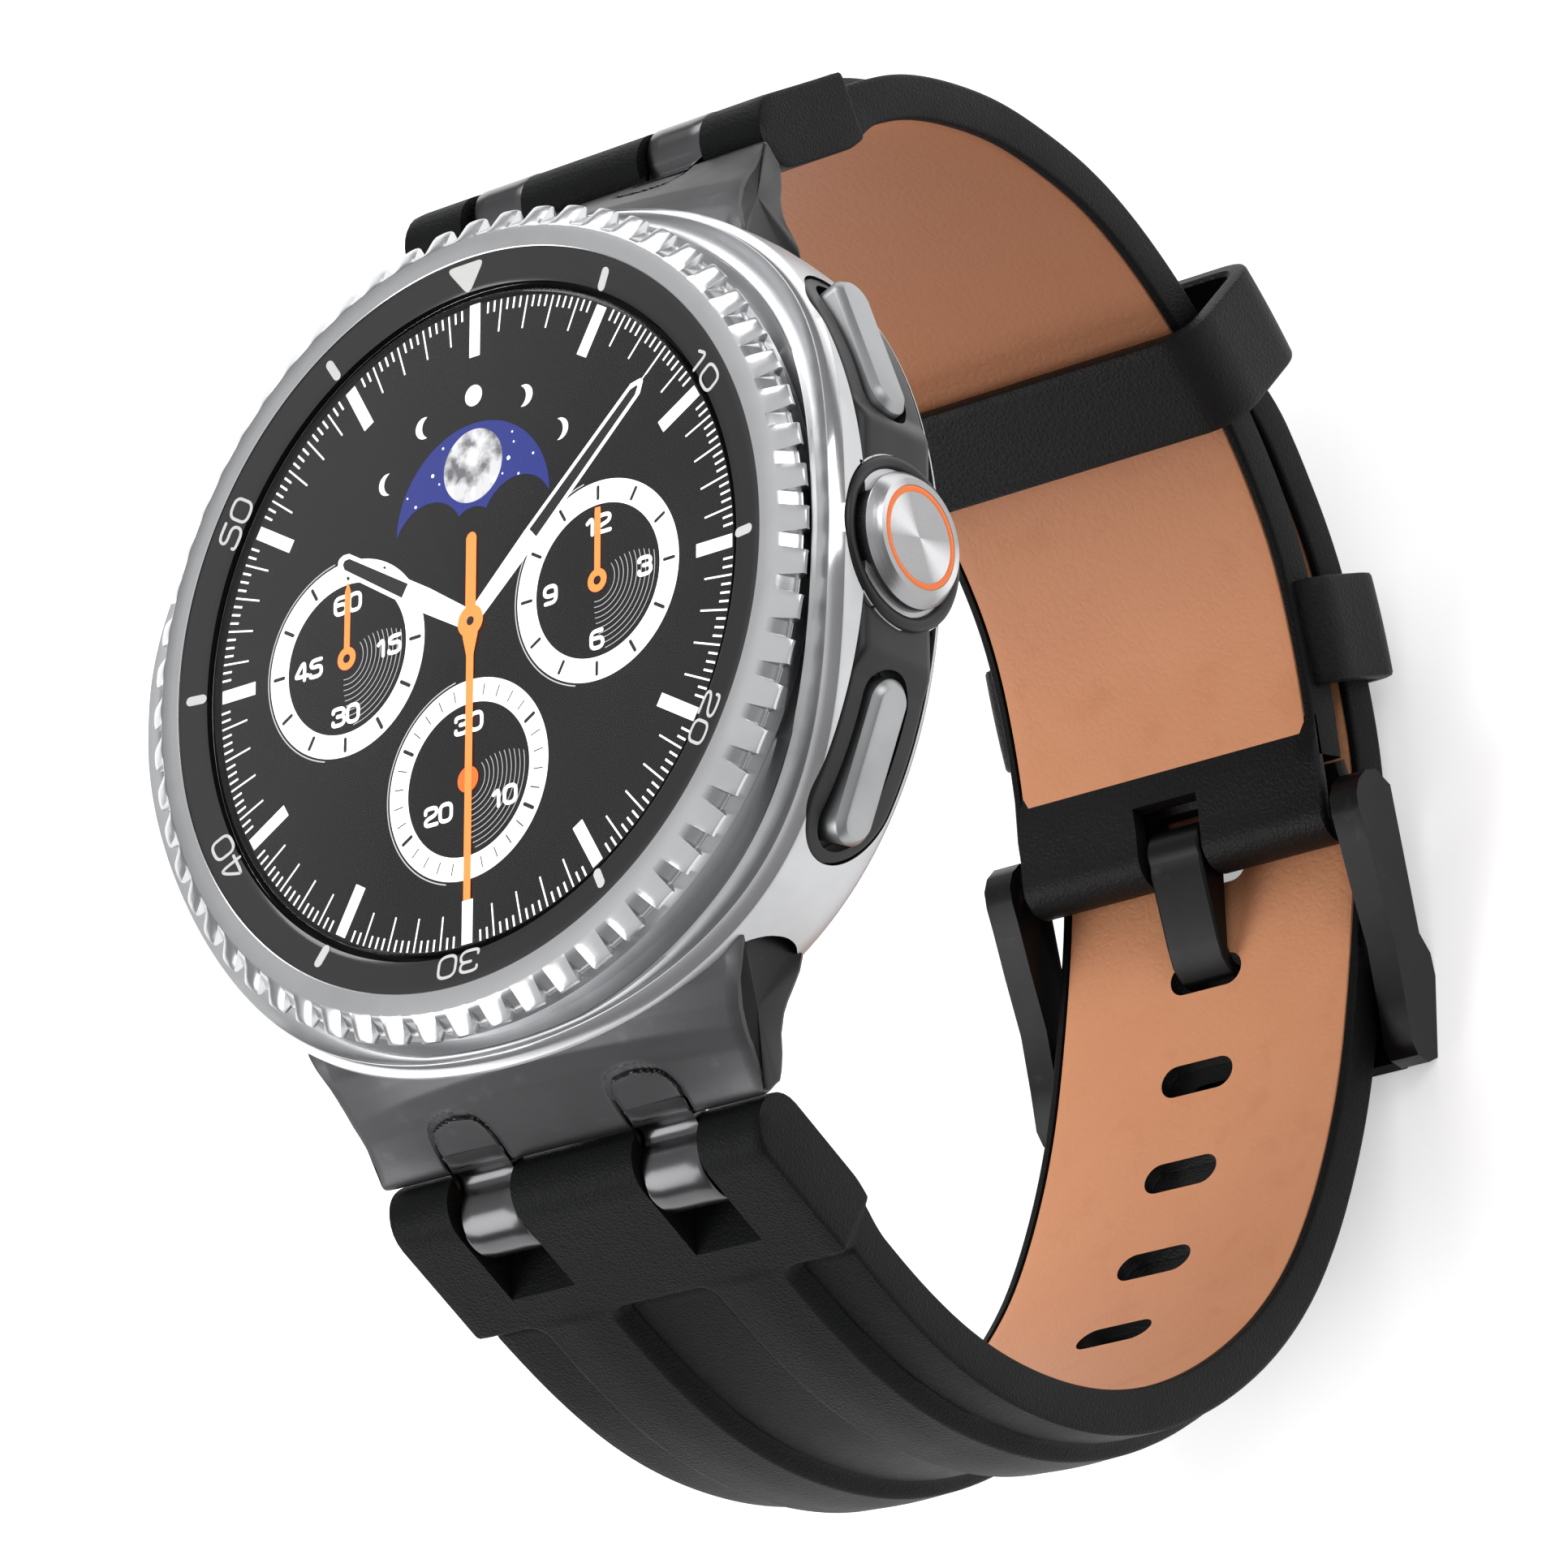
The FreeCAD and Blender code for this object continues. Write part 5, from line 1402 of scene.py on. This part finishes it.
def strap_leather(name, line, body, node, stop, fade_start, fade_end, tip=False):
    """Outer leather of a strap: thick rolled end, then two ridges between sunk panels.

    Each row is a closed section: the outer face from edge to edge, rounded edges, and the
    inner face with a shallow channel that the lining sits in.
    """
    rows = strap_stations(stop)
    place, normal = line.at(rows)
    near_step = [np.linspace(2.55, 4.2, 18), np.linspace(4.3, 6.9, 7), np.linspace(7.0, 8.7, 18),
                 np.linspace(8.9, 11.0, 6)]
    positive = np.concatenate([np.linspace(0, 2.4, 6)] + near_step)
    unit = np.concatenate([-positive[::-1], positive[1:]])
    width = half_width(place[:, 1])
    block = smooth_step((BLOCK_END + 0.25 - rows) / 0.5)
    width = width + 0.38 * block
    if tip:
        width = width * tip_share(stop - rows)
    face_half = width[:, None] - EDGE_REACH
    across = unit[None, :] / PATTERN_HALF * face_half
    scale = PATTERN_HALF / face_half
    depth = sunk(across * scale * np.clip(face_half / PATTERN_HALF, 0.9, 1.1), rows[:, None])
    fade = 1.0 - smooth_step((rows - fade_start) / (fade_end - fade_start))
    raised = RIDGE_HEIGHT * (1.0 - smooth_step((depth + 0.10) / 0.62))
    raised = raised * np.maximum(fade, block)[:, None]
    crease = -0.10 * np.exp(-((depth - 0.58) / 0.10) ** 2) * fade[:, None]
    crown = 0.10 * np.exp(-((np.abs(across) - 5.5) / 1.7) ** 2) * fade[:, None]
    outer = 1.2 + raised + crease * (1 - block[:, None]) + crown * (1 - block[:, None])
    inner = -(1.2 + 0.75 * smooth_step((6.5 - rows) / 4.0))
    nose = np.clip((-NOSE_FROM - rows) / NOSE, 0, 1)
    closing = np.sqrt(1 - nose ** 2)
    outer = outer * closing[:, None]
    inner = inner * closing
    has_lining = smooth_step((rows - 5.0) / 0.6)
    loops, panel = [], []

    one = np.ones_like(rows)

    def column(sideways, height, mask=one):
        """Add one column of points with its panel mask."""
        loops.append(strap_column(place, normal, sideways, height))
        panel.append(mask)

    def edge(side, angles, reach, level, drop):
        """Add a rounded edge: reach sideways and drop off its level, through the angles."""
        for angle in np.radians(angles).tolist():
            column(side * (width - reach + reach * math.sin(angle)),
                   level + drop * (1 - math.cos(angle)) * closing)

    flat = smooth_step(depth / 0.6)
    for index in range(len(unit)):
        column(across[:, index], outer[:, index], flat[:, index])
    first, last = outer[:, 0], outer[:, -1]
    channel = -0.36 * has_lining + inner * (1 - has_lining)
    rim = width - 0.48
    edge(1.0, (30, 60, 90), EDGE_REACH, last, -EDGE_DROP)
    column(width, (last + inner) * 0.5)
    edge(1.0, (90, 60, 30, 0), BACK_EDGE, inner, BACK_EDGE)
    column(rim, inner)
    for share in (1.0, 0.5, 0.0, -0.5, -1.0):
        column((rim - 0.02) * share, channel)
    column(-rim, inner)
    edge(-1.0, (0, 30, 60, 90), BACK_EDGE, inner, BACK_EDGE)
    column(-width, (first + inner) * 0.5)
    edge(-1.0, (90, 60, 30), EDGE_REACH, first, -EDGE_DROP)
    sections = np.stack(loops, 1)
    points, faces = capped_tube(sections)
    masks = np.concatenate([np.stack(panel, 1).ravel(), [1.0, 1.0]])
    strap = piece(name, points, faces, body, FINISH["leather"], "black_leather", 42.0,
                  {"panel": masks})
    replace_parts(strap, node)
    return strap


def strap_lining(name, line, body, node, start, stop, tip=False):
    """Tan lining: a thin strip with rounded edges, seated in the leather's channel."""
    rows = np.concatenate([[start, start + 0.08], np.arange(start + 0.3, stop - 0.3, 0.8),
                           [stop - 0.08, stop]])
    place, normal = line.at(rows)
    width = half_width(place[:, 1]) - 0.50
    if tip:
        width = (width + 0.5) * tip_share(stop + 0.4 - rows) - 0.5
    swell = smooth_step((6.5 - rows) / 4.0) * 0.75
    ends = np.minimum(smooth_step((rows - start + 0.02) / 0.3),
                      smooth_step((stop + 0.02 - rows) / 0.3))
    unit = np.concatenate([[-1.0, -0.985], np.linspace(-0.95, 0.95, 33), [0.985, 1.0]])
    lows = np.concatenate([[0.30, 0.08], np.zeros(33), [0.08, 0.30]])
    loops = []
    for share, lift in zip(unit, lows):
        height = -(1.22 + swell) + lift + 0.25 * (1 - ends)
        loops.append(strap_column(place, normal, width * share, height))
    for share in (1.0, 0.5, 0.0, -0.5, -1.0):
        loops.append(strap_column(place, normal, width * share, -0.40))
    points, faces = capped_tube(np.stack(loops, 1))
    lining = piece(name, points, faces, body, FINISH["tan"], "tan_leather", 42.0)
    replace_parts(lining, node)
    return lining


def stadium_cutter(line, distance, length, width):
    """Round-ended prism through the strap at a distance along it."""
    place, normal = line.at([distance])
    place, normal = place[0], normal[0]
    run = np.array([-normal[1], normal[0]])
    half = (length - width) / 2
    turn = np.radians(np.linspace(-90, 90, 13))
    right = np.column_stack([half + np.cos(turn) * width / 2, np.sin(turn) * width / 2])
    outline = np.vstack([right, -right])
    loops = []
    for height in (-4.0, 4.0):
        loops.append(np.column_stack([outline[:, 0],
                                      place[0] + run[0] * outline[:, 1] + normal[0] * height,
                                      place[1] + run[1] * outline[:, 1] + normal[1] * height]))
    return capped_tube(np.stack(loops))


def hook_windows(sign):
    """The two openings that the hooks reach through, at 12 (sign 1) or 6 o'clock (-1)."""
    cutters = []
    for middle in (6.0, -6.0):
        y0, y1 = sorted((sign * (BAR[0] - 4.4), sign * (BAR[0] + 4.4)))
        cutters.append(block_cutter(middle - 2.08, middle + 2.08, y0, y1, BAR[1] - 2.4,
                                    BAR[1] + 3.0))
    return cutters


short_leather = strap_leather("short_strap_leather", SHORT, "watch", "strap_short_leather",
                              SHORT.length, 34.0, 46.0)
carve(short_leather, hook_windows(1))
strap_lining("short_strap_lining", SHORT, "watch", "strap_short_lining", 5.2,
             SHORT.length - 0.1)

pin_distance = LONG.distance_to(PIN_POINT)
slots = [stadium_cutter(LONG, pin_distance - number * SLOT_PITCH, 4.8, 1.9)
         for number in range(-2, 5)]
long_leather = strap_leather("long_strap_leather", LONG, "watch", "strap_long_leather",
                             LONG.length, 58.0, 72.0, tip=True)
carve(long_leather, hook_windows(-1) + slots)
long_lining = strap_lining("long_strap_lining", LONG, "watch", "strap_long_lining", 5.2,
                           LONG.length - 0.4, tip=True)
carve(long_lining, slots, inside=FINISH["loop_leather"])


def turned_fold():
    """Leather turned round the buckle bar: a thick band along a C-shaped path."""
    pin = np.array([3.9, -58.7])
    arc = np.radians(np.linspace(90, 270, 25))
    around = pin + 1.24 * np.column_stack([np.cos(arc), np.sin(arc)])
    inner_run = np.array([(8.9, -56.62), (7.6, -56.83), (6.3, -57.05), (5.1, -57.32)])
    outer_run = np.array([(5.0, -59.82), (5.9, -59.5), (6.9, -59.0)])
    path = np.vstack([inner_run, around, outer_run])
    ahead, behind = np.vstack([path[1:], path[-1:]]), np.vstack([path[:1], path[:-1]])
    run = ahead - behind
    run /= np.linalg.norm(run, axis=1)[:, None]
    side = np.column_stack([-run[:, 1], run[:, 0]])
    thick = np.full(len(path), 0.45)
    thick[0] = 0.16
    thick[1] = 0.30
    half = 10.25
    loops = []
    ring = [(half - 0.15, 1.0), (half, 0.6), (half, -0.6), (half - 0.15, -1.0),
            (-half + 0.15, -1.0), (-half, -0.6), (-half, 0.6), (-half + 0.15, 1.0)]
    fill = []
    for (x0, share0), (x1, share1) in zip(ring, ring[1:] + ring[:1]):
        steps = 14 if abs(x1 - x0) > 2 else 1
        for step in range(steps):
            blend = step / steps
            fill.append((x0 + (x1 - x0) * blend, share0 + (share1 - share0) * blend))
    for x, share in fill:
        offset = side * (thick * share)[:, None]
        loops.append(np.column_stack([np.full(len(path), x), path[:, 0] + offset[:, 0],
                                      path[:, 1] + offset[:, 1]]))
    points, faces = capped_tube(np.stack(loops, 1))
    fold = piece("turned_fold", points, faces, "watch", FINISH["loop_leather"], "black_leather")
    carve(fold, [block_cutter(-2.15, 2.15, -0.5, 6.3, -62.0, -54.0)])
    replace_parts(fold, "strap_fold")


def keeper(name, node, body, place, run, half_x, low, high, length, corner, thick):
    """Leather loop: a rounded rectangular path with a crowned, soft-edged section."""
    path = rounded([(half_x, low), (half_x, high), (-half_x, high), (-half_x, low)], corner * 1.6,
                   True, 14)
    dense = []
    for start, end in zip(path, np.roll(path, -1, 0)):
        steps = max(1, int(np.linalg.norm(end - start) / 0.8))
        for step in range(steps):
            dense.append(start + (end - start) * step / steps)
    path = np.array(dense)
    direction = np.roll(path, -1, 0) - np.roll(path, 1, 0)
    direction /= np.linalg.norm(direction, axis=1)[:, None]
    outward = np.column_stack([direction[:, 1], -direction[:, 0]])
    centre = np.array([0.0, (low + high) / 2])
    if np.sum(outward * (path - centre)) < 0:
        outward = -outward
    share = np.linspace(-1, 1, 15)
    half = length / 2
    section = []
    for value in share:
        section.append((value * (half - 0.22), 0.05 * (1 - value ** 2)))
    section += [(half - 0.06, -0.08), (half, -0.28), (half, -thick + 0.25), (half - 0.2, -thick)]
    section += [(-half + 0.2, -thick), (-half, -thick + 0.25), (-half, -0.28),
                (-half + 0.06, -0.08)]
    run = np.asarray(run, float)
    up = np.array([-run[1], run[0]])
    loops = []
    for along, height in section:
        flat = path + outward * height
        loops.append(np.column_stack([flat[:, 0],
                                      place[0] + run[0] * along + up[0] * flat[:, 1],
                                      place[1] + run[1] * along + up[1] * flat[:, 1]]))
    points = np.stack(loops, 1)
    item = piece(name, points.reshape(-1, 3), grid(len(path), len(section), True, True), body,
                 FINISH["loop_leather"], "black_leather")
    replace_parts(item, node)
    return item


turned_fold()
keeper("floating_keeper", "keeper_floating", "keeper", (26.55, -47.55), (0.672, 0.741), 12.5,
       -5.75, 3.15, 5.8, 1.6, 1.15)
keeper("fixed_keeper", "keeper_fixed", "watch", (14.0, -57.85), (0.945, 0.327), 11.75,
       -4.5, 2.2, 5.8, 1.2, 1.15)


# --------------------------------------------------------- carried-over pieces
CARRIED = {
    "display_panel": "face", "display_gasket": "rubber", "display_frame": "plastic",
    "bezel_click_ring": "pin", "case_back": "gloss_back", "back_gasket": "rubber",
    "back_screws": "pin", "sensor_window": "lens", "sensor_board": "board",
    "crown_clip": "pin", "home_clip": "pin", "back_clip": "pin", "side_switches": "plastic",
    "side_flex": "copper", "main_board": "board", "shield_cans": "aluminium",
    "battery": "aluminium", "inner_cradle": "plastic", "vibration_motor": "aluminium",
    "speaker": "plastic", "charging_coil": "copper", "ferrite_sheet": "ferrite",
    "strap_bar_upper": "pin", "strap_bar_lower": "pin", "release_button_upper": "pin",
    "release_button_lower": "pin", "buckle_bar": "pin",
}
for node, finish in CARRIED.items():
    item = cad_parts[node]
    item.data.materials.clear()
    item.data.materials.append(FINISH[finish])


# ------------------------------------------------------------- camera and light
def look(position, right, up, back, lens):
    """Camera from its position and its three axes."""
    data = bpy.data.cameras.new("studio_camera")
    data.sensor_width = 36.0
    data.lens = lens
    data.clip_start = 0.01
    camera = bpy.data.objects.new("studio_camera", data)
    bpy.context.scene.collection.objects.link(camera)
    axes = Matrix((right, up, back)).transposed().to_4x4()
    axes.translation = position
    camera.matrix_world = axes
    bpy.context.scene.camera = camera
    return camera


def panel_light(name, place, aim, size, power, tint=(1.0, 1.0, 1.0)):
    """Rectangular soft light aimed at a point."""
    data = bpy.data.lights.new(name, "AREA")
    data.shape = "RECTANGLE"
    data.size, data.size_y = size
    data.energy = power
    data.color = tint
    item = bpy.data.objects.new(name, data)
    bpy.context.scene.collection.objects.link(item)
    item.location = place
    item.rotation_euler = (Vector(aim) - Vector(place)).to_track_quat("-Z", "Y").to_euler()
    return item


def studio():
    """Pale floor, a soft sky that darkens towards the horizon, and three soft panels."""
    world = bpy.data.worlds.new("pale_studio")
    world.use_nodes = True
    nodes, links = world.node_tree.nodes, world.node_tree.links
    where = nodes.new("ShaderNodeTexCoord")
    split = nodes.new("ShaderNodeSeparateXYZ")
    links.new(where.outputs["Generated"], split.inputs[0])
    height = nodes.new("ShaderNodeValToRGB")
    stops = height.color_ramp.elements
    stops[0].position, stops[0].color = 0.02, (0.26, 0.26, 0.265, 1.0)
    stops[1].position, stops[1].color = 0.82, (1.00, 1.00, 1.01, 1.0)
    middle = stops.new(0.42)
    middle.color = (0.42, 0.42, 0.425, 1.0)
    links.new(split.outputs["Z"], height.inputs["Fac"])
    links.new(height.outputs["Color"], nodes["Background"].inputs["Color"])
    nodes["Background"].inputs["Strength"].default_value = 0.85
    bpy.context.scene.world = world
    half = 2.5
    mesh = bpy.data.meshes.new("studio_floor")
    mesh.from_pydata([(-half, -half, 0), (half, -half, 0), (half, half, 0), (-half, half, 0)], [],
                     [(0, 1, 2, 3)])
    floor = bpy.data.objects.new("studio_floor", mesh)
    bpy.context.scene.collection.objects.link(floor)
    paper = Recipe("pale_paper", (0.93, 0.93, 0.93), 0.95, 0.0, Specular_IOR_Level=0.1)
    paper.tint(paper.noise(30.0, 2.0), (0.92, 0.92, 0.92), 0.3, 0.7)
    paper.shader.inputs["Emission Color"].default_value = (1.0, 1.0, 1.0, 1.0)
    paper.shader.inputs["Emission Strength"].default_value = 0.40
    floor.data.materials.append(paper.finish)
    floor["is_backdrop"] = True
    centre = (0.0, 0.0, 0.035)
    panel_light("key_panel", (-0.42, -0.30, 0.42), centre, (0.40, 0.40), 2.1)
    panel_light("side_panel", (0.50, 0.28, 0.30), centre, (0.32, 0.32), 0.9)
    panel_light("back_panel", (-0.15, 0.60, 0.40), centre, (0.45, 0.30), 1.8)


look((0.25225, -0.13922, 0.34313), (0.76899, -0.00100, -0.63926),
     (0.21982, 0.93943, 0.26296), (0.60027, -0.34274, 0.72264), 188.13)
studio()
bpy.context.scene.view_settings.view_transform = "Standard"

sizes = {"cad": [list(corner) for corner in CAD_BOX],
         "visual": [list(corner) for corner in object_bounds()]}
